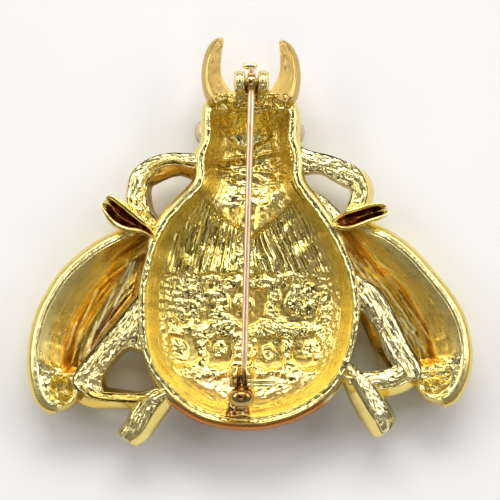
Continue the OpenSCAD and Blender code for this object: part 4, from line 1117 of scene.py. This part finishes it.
# Operators, one for each group of pieces.
class BROOCH_OT_body(bpy.types.Operator):
    """Body shell with its rim and the cast relief of its hollow"""
    bl_idname = "brooch.body"
    bl_label = "Body shell"

    def execute(self, context):
        deselect()
        sizes = context.scene.brooch_sizes
        rim = sizes.rim_z / MM
        finish_cast(body_shell(sizes))

        def lumps(x, y):
            lumpy = 0.4 * creased(x * 0.8, y * 0.9, 121, 3) + 0.12 * rough(x * 3, y * 3, 122, 2)
            lumpy *= ease(4.5, 3.4, np.abs(x)) * (1 - 0.4 * ease(14.9, 13.8, y)) * ease(12.3, 13.0, y)
            curve = y - 0.01 * x * x + 0.4 * grain(x * 1.05, y * 0.3, 123) + 0.2 * grain(x * 2.3, y, 124)
            return rim + 0.3 - 0.8 * ease(16.2, 14.6, curve) - 4.3 * ease(15.3, 11.9, curve) + lumpy

        def under(x, y):
            return rim - 1.75 - 3.4 * ease(15.1, 14.4, y)

        box = (-3.95, 4.15, 12.3, 16.45, 0.6, 8)
        brow = box_cushion("brow_casting", box, (4.15, 15.85), 161, lumps, under, 70)
        finish_cast(paint(brow, grain=0.6, deep=0.45))
        return {"FINISHED"}


class BROOCH_OT_wings(bpy.types.Operator):
    """Two hollow wings with their slopes, valleys and tip pockets"""
    bl_idname = "brooch.wings"
    bl_label = "Wings"

    def execute(self, context):
        deselect()
        for side in WINGS:
            finish_cast(wing(side, context.scene.brooch_sizes))
        return {"FINISHED"}


class BROOCH_OT_horns(bpy.types.Operator):
    """Two curved horns with satin faces"""
    bl_idname = "brooch.horns"
    bl_label = "Horns"

    def execute(self, context):
        deselect()
        for name, seed in (("horn_left", 3), ("horn_right", 4)):
            edges = [[(x, y + 0.25 * ease(19, 22, y)) for x, y in edge[1:]] for edge in EDGES[name]]
            horn = limb(name, 170, 60, [(0, 0.17), (1, 0.24)], [(0, 0.99), (1, 0.97)],
                        [(0, 6.3, 4.7, 3.6), (0.4, 6.0, 4.9, 4.0), (1, 5.6, 5.2, 4.9)], 0.012, ends=(0, 0.06),
                        ridge=(0.08, 0.16, 0.05), seed=seed, round_top=0.15, satin=0.55, edges=edges)
            finish_cast(paint(horn, deep=lambda x, y, z: 0.35 - 0.1 * ease(5.2, 5.7, z), hot=0.4))
        return {"FINISHED"}


THIGH_HEIGHTS = [(0, 5.7, 3.8, 1.4), (0.5, 5.7, 4.2, 2.2), (1, 5.7, 4.4, 3.0)]
# Name, points along and across, where the back face begins and ends, heights, and what else differs.
LEGS = [
    ("foreleg_left", 240, 34, [(0, 0.05), (1, 0.1)], [(0, 0.55), (0.4, 0.5), (0.6, 0.8), (1, 0.8)],
     [(0, 5.75, 4.4, 3.2), (0.08, 6.05, 4.4, 3.2), (0.5, 6.1, 4.4, 3.0), (1, 6.2, 4.6, 3.4)],
     {"ridge": (0.72, 0.32, 0.16), "shade": (0, 0.5)}),
    ("foreleg_right", 240, 34, [(0, 0.04), (0.55, 0.06), (0.7, 0.28), (1, 0.25)], [(0, 0.88), (0.5, 0.93), (1, 0.93)],
     [(0, 6.2, 4.4, 3.2), (0.5, 6.1, 4.4, 3.0), (1, 6.2, 4.6, 3.4)], {"shade": (0, 0.34)}),
    ("shoulder_strut", 150, 28, [(0, 0.05), (1, 0.05)], [(0, 0.93), (1, 0.93)],
     [(0, 5.9, 4.2, 3.0), (1, 5.9, 4.2, 2.6)], {"ends": (0, 0.1)}),
    ("thigh_left", 220, 50, [(0, 0.03), (1, 0.05)], [(0, 0.93), (1, 0.78)], THIGH_HEIGHTS,
     {"ends": (0.06, 0.08), "shade": (0, 0.3), "tilt": -0.35}),
    ("thigh_right", 220, 44, [(0, 0.02), (0.5, 0.33), (1, 0.1)], [(0, 0.97), (1, 0.97)], THIGH_HEIGHTS,
     {"ends": (0.06, 0.08), "shade": (0.42, 0), "tilt": 0.4, "pale": 0.65}),
    ("shin_left", 200, 34, [(0, 0.1), (0.3, 0.3), (1, 0.1)], [(0, 0.7), (0.3, 0.6), (1, 0.72)],
     [(0, 5.4, 4.0, 2.8), (0.5, 5.9, 4.3, 2.8), (1, 6.2, 4.4, 3.0)],
     {"ends": (0.05, 0), "ridge": (0.75, 0.3, 0.12), "shade": (0.3, 0), "pale": 0.0}),
    ("shin_right", 180, 32, [(0, 0.05), (1, 0.05)], [(0, 0.7), (1, 0.7)],
     [(0, 6.2, 4.4, 3.0), (1, 5.8, 4.3, 2.8)], {"ends": (0, 0.06), "shade": (0.3, 0)}),
    ("foot_left", 170, 34, [(0, 0.12), (1, 0.12)], [(0, 0.62), (1, 0.7)],
     [(0, 6.3, 4.6, 3.2), (0.7, 6.3, 4.4, 3.0), (1, 5.4, 4.2, 3.1)],
     {"ends": (0.08, 0.04), "ridge": (0.3, 0.2, 0.1), "shade": (0, 0.12)}),
    ("foot_right", 190, 34, [(0, 0.38), (1, 0.34)], [(0, 0.9), (1, 0.85)],
     [(0, 6.3, 4.6, 3.2), (0.75, 6.4, 4.4, 3.0), (1, 5.4, 4.2, 3.2)],
     {"ends": (0.08, 0.04), "shade": (0.12, 0), "tilt": 0.6, "pale": 0.75}),
]


class BROOCH_OT_legs(bpy.types.Operator):
    """Forelegs, shoulder strut, thighs, shins and feet"""
    bl_idname = "brooch.legs"
    bl_label = "Legs"

    def execute(self, context):
        deselect()
        crinkle = context.scene.brooch_sizes.leg_crinkle / MM
        for k, (name, *shape, more) in enumerate(LEGS):
            leg = limb(name, *shape, crinkle, seed=10 + 3 * k, **more)
            finish_cast(paint(leg, deep=0.6 if name == "shin_left" else 0.0))
        return {"FINISHED"}


class BROOCH_OT_front_feet(bpy.types.Operator):
    """Curled front feet, hollow towards the back"""
    bl_idname = "brooch.front_feet"
    bl_label = "Front feet"

    def execute(self, context):
        deselect()
        for side, name in enumerate(("front_foot_left", "front_foot_right")):
            finish_cast(front_foot(name, side))
        return {"FINISHED"}


# Turned pieces: rows of distance along the axis and radius.
EYE_CUP = [(-0.75, 0.02), (-0.75, 1.6), (-0.4, 1.82), (-0.1, 1.86), (0.08, 1.84), (0.17, 1.78), (0.19, 1.7),
           (0.13, 1.64), (0.06, 1.62), (0.05, 0.02)]
# A stone's collar: the same, with the radius in two parts: share of the stone's, and what is added.
COLLAR = [(-0.66, 0, 0.02), (-0.6, 0.5, 0), (-0.4, 1, 0.36), (-0.25, 1, 0.36), (0.0, 1, 0.33), (0.1, 1, 0.27),
          (0.14, 1, 0.18), (0.12, 1, 0.08), (0.05, 1, 0.03), (-0.06, 1, 0.02), (-0.62, 0, 0.02)]
RIVET_END = [(-1.95, 0.02), (-1.95, 0.4), (-1.91, 0.56), (-1.84, 0.6), (-1.8, 0.56), (-1.79, 0.4)]
KNUCKLE_END = [(-0.45, 0.44), (-0.45, 0.8), (-0.42, 0.9), (-0.34, 0.95)]


def both_ends(profile):
    """A turned profile with two like ends."""
    return profile + [(-along, radius) for along, radius in reversed(profile)]


def dome(start, stop, count, place, height, radius, rim):
    """Profile of a dome: its angles, where its middle lies, its half axes and its least radius."""
    angles = [math.radians(a) for a in np.linspace(start, stop, count)]
    return [(place + height * math.sin(a), radius * math.cos(a) + rim) for a in angles]


class BROOCH_OT_eyes(bpy.types.Operator):
    """Bulged eye cups with their peach stones"""
    bl_idname = "brooch.eyes"
    bl_label = "Eyes"

    def execute(self, context):
        deselect()
        for name, side, x, shadow in (("left", -1, -4.65, 0.95), ("right", 1, 4.6, 0.35)):
            axis = np.array([0.848 * side, 0, -0.53])
            origin = np.array([x, 12.42, 3.2])
            cup = lathe("eye_cup_" + name, EYE_CUP, origin, axis, 72)
            finish_cast(paint(cup, pale=0.6, satin=1.0, copper=0.22))
            profile = [(0.08, 0.02), (0.08, 1.5)] + dome(8, 90, 18, 0.1, 1.35, 1.6, 0.005)
            stone = lathe("eye_stone_" + name, profile, origin, axis, 72)
            cx, _, cz = origin + 0.1 * axis

            # Painted shadow over the stone's outer, lower side, as strong as each eye's shadow share.
            def edge(x, y, z):
                out = (x - cx) * axis[0] + (z - cz) * axis[2]
                return shadow * ease(0.8, 0.5, z - cz - 0.215 * out)

            finish(paint(stone, hot=edge), "peach_stone", "eye_" + name)
        return {"FINISHED"}


def girdle_of(node):
    """Middle, axis and radius of a round stone, read from its solid."""
    co = np.array([v.co for v in node.data.vertices]) / MM
    faces = {}
    for face in node.data.polygons:
        key = tuple(round(c, 2) for c in face.normal)
        faces[key] = faces.get(key, 0) + face.area
    axis = np.array(max(faces, key=faces.get))
    axis /= -np.linalg.norm(axis) * np.sign(axis[2])

    def from_axis(middle):
        off = co - middle
        return np.linalg.norm(off - (off @ axis)[:, None] * axis, axis=1)

    middle = (co.min(0) + co.max(0)) / 2
    for _ in range(3):
        r = from_axis(middle)
        middle = co[r > 0.96 * r.max()].mean(0)
    return middle, axis, from_axis(middle).max()


class BROOCH_OT_stones(bpy.types.Operator):
    """Round collars on the front that hold the clear stones"""
    bl_idname = "brooch.stones"
    bl_label = "Stones"

    def execute(self, context):
        deselect()
        for i in range(1, 8):
            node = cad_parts["stone_%d" % i]
            middle, axis, width = girdle_of(node)
            profile = [(along, width * share + more) for along, share, more in COLLAR]
            collar = lathe("stone_collar_%d" % i, profile, middle, axis)
            for v in collar.data.vertices:
                v.co.z = max(v.co.z, 0.03 * MM)
            finish(collar, "satin_gold", "casting")
            node.data.materials.clear()
            node.data.materials.append(look("clear_stone"))
        return {"FINISHED"}


class BROOCH_OT_hinge(bpy.types.Operator):
    """Hinge bracket with two rounded ears, and its rivet"""
    bl_idname = "brooch.hinge"
    bl_label = "Hinge"

    def execute(self, context):
        deselect()
        x0, y0 = HINGE
        z, rim = context.scene.brooch_sizes.pin_z / MM, context.scene.brooch_sizes.rim_z / MM
        for name, x in (("left", -1.1), ("right", 1.44)):
            ear = hinge_ear("hinge_ear_" + name, x, z, rim + 0.05)
            finish(ear, "polished_gold", "hinge_bracket")

        def slot_depth(x, y, z=0):
            return ease(0.75, 0.5, np.abs(x - x0)) * ease(14.9, 15.5, y)

        def solder(x, y):
            lumpy = 0.3 * creased(x * 0.9, y * 0.9, 131, 2) + 0.06 * rough(x * 3, y * 3, 132, 2)
            return rim + 0.47 - 0.85 * slot_depth(x, y) - 0.75 * ease(16.3, 14.9, y) + lumpy * ease(17.2, 15.8, y)

        box = (-1.7, 2.04, 14.75, 17.6, 0.45, 6)
        base = box_cushion("hinge_base", box, (2.04, 17.1), 121, solder, rim - 0.4, 30)
        # Painted shade in the slot between the ears.
        paint(base, hot=lambda *place: 0.55 * slot_depth(*place), grain=0.35, deep=0.4)
        finish(base, "cast_gold", "hinge_bracket")
        rivet = lathe("hinge_rivet_shaft", both_ends(RIVET_END), (x0, y0, z), (1, 0, 0), 48)
        finish(rivet, "rose_metal", "hinge_rivet")
        return {"FINISHED"}


class BROOCH_OT_pin(bpy.types.Operator):
    """Pin: knuckle, straight wire with its point, and the small flat tail"""
    bl_idname = "brooch.pin"
    bl_label = "Pin"

    def execute(self, context):
        deselect()
        z = context.scene.brooch_sizes.pin_z / MM
        thick = context.scene.brooch_sizes.wire_d / MM / 2
        start, end = np.array([0.15, 16.9, z]), np.array([-0.7, -15.78, z])
        t = np.concatenate([[0, 0.002, 0.006], np.linspace(0.015, 0.88, 90), np.linspace(0.885, 0.995, 20), [1.0]])
        taper = 0.897
        point = 0.2 + 0.8 * (1 - (t - taper) / (1 - taper)) ** 0.8
        radius = thick * np.where(t < taper, 1.0, point)
        radius[0], radius[-1] = thick * 0.6, thick * 0.1
        wire = tube("pin_wire", start + (end - start) * t[:, None], radius * (1 + 0.03 * grain(t * 60, 0, 5)), 28)
        barrel = lathe("pin_knuckle", both_ends(KNUCKLE_END), (*HINGE, z), (1, 0, 0), 56)
        oval = []
        for a in np.linspace(0, 2 * np.pi, 48, endpoint=False):
            c, s = math.cos(a), math.sin(a)
            oval.append((0.8 * math.copysign(abs(c) ** 0.7, c), 19.2 + 0.375 * math.copysign(abs(s) ** 0.8, s)))
        tail = slab("pin_tail", oval, z - 0.3, z + 0.3, 0.3, 6)
        neck = slab("pin_neck", box_outline(-0.22, 0.56, 18.1, 19.3), z - 0.28, z + 0.2, 0.18)
        # The knuckle is painted brown all over: painted shade where it lies between the ears.
        paint(barrel, hot=0.42)
        materials = ("cast_gold", "rose_metal", "rose_metal", "polished_gold")
        for piece, material in zip((barrel, wire, neck, tail), materials):
            finish(piece, material, "pin_stem", "pin")
        return {"FINISHED"}


class BROOCH_OT_catch(bpy.types.Operator):
    """Catch: cast pad, hooded ring, round end, and the turning sleeve with its ridged lever"""
    bl_idname = "brooch.catch"
    bl_label = "Catch"

    def execute(self, context):
        deselect()
        x, z = CATCH_X, context.scene.brooch_sizes.pin_z / MM
        rim = context.scene.brooch_sizes.rim_z / MM
        outline = even_line([
            (-3.1, -19.55), (-2.75, -18.9), (-2.45, -18.2), (-2.4, -17.7), (-1.3, -17.55), (-0.1, -17.7),
            (-0.05, -18.4), (0.0, -19.1), (0.1, -19.75), (-1.5, -19.8), (-3.1, -19.55)], 121)[:-1]

        def lumps(x, y):
            return rim - 0.16 + 0.28 * creased(x * 1.1, y * 1.1, 141, 2)

        pad = cushion("catch_pad", outline, lumps, rim - 1.6)
        # Painted shade in the pad's low creases: browner where it lies below the rim.
        finish_cast(paint(pad, hot=lambda x, y, z: 0.75 * ease(0.15, -0.3, z - rim)))
        bar = slab("catch_bar", box_outline(x - 0.75, x + 0.75, -18.5, -13.95, 0.3), rim + 0.02, rim + 0.5, 0.16)
        post = [(0, 0.02), (0, 1.0), (0.6, 0.86), (1.6, 0.9), (1.9, 0.02)]
        stand = lathe("catch_stand", post, (x, -17.55, rim + 0.04), (0, 0, 1), 48)
        ring = arc_ring("catch_ring", z, -15.11, -13.91, 1.08, 1.6, 110, front=0.55)
        paint(ring, hot=0.3, deep=0.5, satin=0.35)
        ball = lathe("catch_ball", dome(-90, 90, 33, -17.2, 1.12, 1.53, 0.015), (x, 0, z), (0, 1, 0), 72)

        # A painted dark reflection on the top of the ball.
        def painted_dark_spot(x, y, z):
            return 0.85 * ease(1.1, 0.6, np.hypot((x + 0.8) / 0.95, (y + 17.12) / 0.6)) * ease(8.6, 9.0, z)

        paint(ball, hot=painted_dark_spot)
        for piece in (bar, stand, ring, ball):
            finish(piece, "cast_gold" if piece is ring else "catch_gold", "catch_housing")
        sleeve = arc_ring("catch_sleeve", z, -16.19, -13.97, 0.72, 1.02, 127, lip=0.05)
        collar = arc_ring("catch_collar", z, -16.16, -15.2, 0.75, 1.38, 118)
        bend = [(x + 1.42 * math.cos(a), z + 1.42 * math.sin(a)) for a in np.radians(np.linspace(64, 30, 9))]
        bend += [(1.0, 8.75), (1.6, 8.6), (2.2, 8.5), (2.6, 8.46), (2.72, 8.44)]
        radii = np.array([0.08, 0.15, 0.19, *[0.2] * 53, 0.19, 0.17, 0.12, 0.03])
        ridges = []
        for k, y in enumerate((-15.92, -15.46), 1):
            path = even_line([(px, y, pz) for px, pz in bend], len(radii))
            ridges.append(tube("catch_ridge_%d" % k, path, radii, 20))
        web = slab("catch_lever_web", box_outline(x + 1.0, 2.6, -16.1, -15.3, 0.12), z - 0.12, z + 0.12, 0.06)
        for piece in (sleeve, collar, web, *ridges):
            material = "catch_gold" if piece in (sleeve, collar) else "polished_gold"
            finish(piece, material, "catch_rotor", "catch_lever")
        return {"FINISHED"}


def soft_light(name, tilt, azimuth, size, strength, distance=0.8):
    """An area light that faces the brooch. tilt is from straight up, azimuth from the head's side clockwise."""
    data = bpy.data.lights.new(name, "AREA")
    data.shape, data.size, data.size_y = "RECTANGLE", size[0], size[1]
    data.energy = strength * size[0] * size[1] * math.pi
    data.color = (0.985, 1.0, 1.03)
    light = bpy.data.objects.new(name, data)
    bpy.context.scene.collection.objects.link(light)
    tilt, azimuth = math.radians(tilt), math.radians(azimuth)
    across = distance * math.sin(tilt)
    light.location = (across * math.sin(azimuth), across * math.cos(azimuth), distance * math.cos(tilt))
    light.rotation_mode = "QUATERNION"
    light.rotation_quaternion = light.location.to_track_quat("Z", "Y")


# Soft lights: name, tilt, azimuth, size, the strength that they follow, and their share of it.
LIGHTS = [("key_light", 48, 0, (0.7, 0.26), "key_light", 1), ("left_light", 56, -68, (0.62, 0.3), "side_light", 1),
          ("right_light", 56, 68, (0.62, 0.3), "side_light", 1), ("top_strip", 15, 105, (0.5, 0.05), "key_light", 0.45),
          ("tail_light", 36, 184, (0.4, 0.08), "key_light", 0.6), ("brow_light", 22, 0, (0.3, 0.08), "key_light", 0.75)]
# Brightness of the tent round the brooch, from the floor up.
TENT = [(0.0, (0.16, 0.15, 0.14)), (0.25, (0.42, 0.4, 0.37)), (0.55, (0.53, 0.5, 0.47)),
        (0.85, (0.31, 0.3, 0.28)), (0.95, (0.075, 0.07, 0.065))]
# The camera looks at a point on the middle line, from straight above but for a tilt to the tail. Metres.
CAMERA_LENS, CAMERA_ELEVATION, CAMERA_DISTANCE = 261.8, math.radians(85), 0.4
TARGET_Y, TARGET_Z = -0.000935, 0.0064


def tent_world():
    """Even surroundings that the metal mirrors, brighter towards the head."""
    world = bpy.data.worlds.new("studio_tent")
    world.use_nodes = True
    tree = world.node_tree
    tools = Value(tree)
    where = tools.node("ShaderNodeTexCoord")
    tent = tools.node("ShaderNodeValToRGB", Fac=tools.node("ShaderNodeSeparateXYZ", out=2, Vector=where))
    ramp = tent.socket.node.color_ramp
    while len(ramp.elements) < len(TENT):
        ramp.elements.new(0.5)
    for element, (place, shade) in zip(ramp.elements, TENT):
        element.position, element.color = place, (*shade, 1)
    north = tools.node("ShaderNodeSeparateXYZ", out=1, Vector=where).spread(-0.75, 0.55, 0.5, 1.1)
    tent = tools.node("ShaderNodeVectorMath", {"operation": "SCALE"}, i0=tent, i3=north)
    background = next(n for n in tree.nodes if n.type == "BACKGROUND")
    tools.put(background.inputs["Color"], tent)
    background.inputs["Strength"].default_value = 1.0
    return world


class BROOCH_OT_stage(bpy.types.Operator):
    """Floor, soft lights and camera"""
    bl_idname = "brooch.stage"
    bl_label = "Stage"

    def execute(self, context):
        deselect()
        scene = context.scene
        bpy.ops.mesh.primitive_plane_add(size=1.6, location=(0, 0, 0))
        floor = context.object
        floor.name = "studio_floor"
        floor.data.materials.append(look("foam_floor"))
        deselect()

        for name, tilt, azimuth, size, strength, share in LIGHTS:
            soft_light(name, tilt, azimuth, size, share * getattr(scene.brooch_sizes, strength))
        scene.world = tent_world()

        data = bpy.data.cameras.new("photo_camera")
        data.lens, data.sensor_width = CAMERA_LENS, 36
        data.clip_start, data.clip_end = 0.05, 5
        camera = bpy.data.objects.new("photo_camera", data)
        scene.collection.objects.link(camera)
        camera.location = (0, TARGET_Y - CAMERA_DISTANCE * math.cos(CAMERA_ELEVATION),
                           TARGET_Z + CAMERA_DISTANCE * math.sin(CAMERA_ELEVATION))
        camera.rotation_euler = (math.radians(90) - CAMERA_ELEVATION, 0, 0)
        scene.camera = camera
        scene.view_settings.view_transform = "Standard"
        return {"FINISHED"}


OPERATORS = [BROOCH_OT_stage, BROOCH_OT_body, BROOCH_OT_wings, BROOCH_OT_horns, BROOCH_OT_legs, BROOCH_OT_front_feet,
             BROOCH_OT_eyes, BROOCH_OT_stones, BROOCH_OT_hinge, BROOCH_OT_pin, BROOCH_OT_catch]


class BROOCH_PT_panel(bpy.types.Panel):
    """Sizes, colours and pieces of the brooch"""
    bl_idname = "BROOCH_PT_panel"
    bl_label = "Insect brooch"
    bl_space_type = "VIEW_3D"
    bl_region_type = "UI"
    bl_category = "Brooch"

    def draw(self, context):
        for group in (context.scene.brooch_sizes, context.scene.brooch_colours):
            box = self.layout.box()
            for key in group.bl_rna.properties.keys():
                if key not in ("rna_type", "name"):
                    box.prop(group, key)
        for operator in OPERATORS:
            self.layout.operator(operator.bl_idname)


CLASSES = [BroochSizes, BroochColours, *OPERATORS, BROOCH_PT_panel]


def register():
    for item in CLASSES:
        bpy.utils.register_class(item)
    bpy.types.Scene.brooch_sizes = bpy.props.PointerProperty(type=BroochSizes)
    bpy.types.Scene.brooch_colours = bpy.props.PointerProperty(type=BroochColours)


def unregister():
    del bpy.types.Scene.brooch_colours
    del bpy.types.Scene.brooch_sizes
    for item in reversed(CLASSES):
        bpy.utils.unregister_class(item)


def main():
    register()
    for operator in OPERATORS:
        getattr(bpy.ops.brooch, operator.bl_idname.split(".")[1])()


if __name__ == "__main__":
    main()
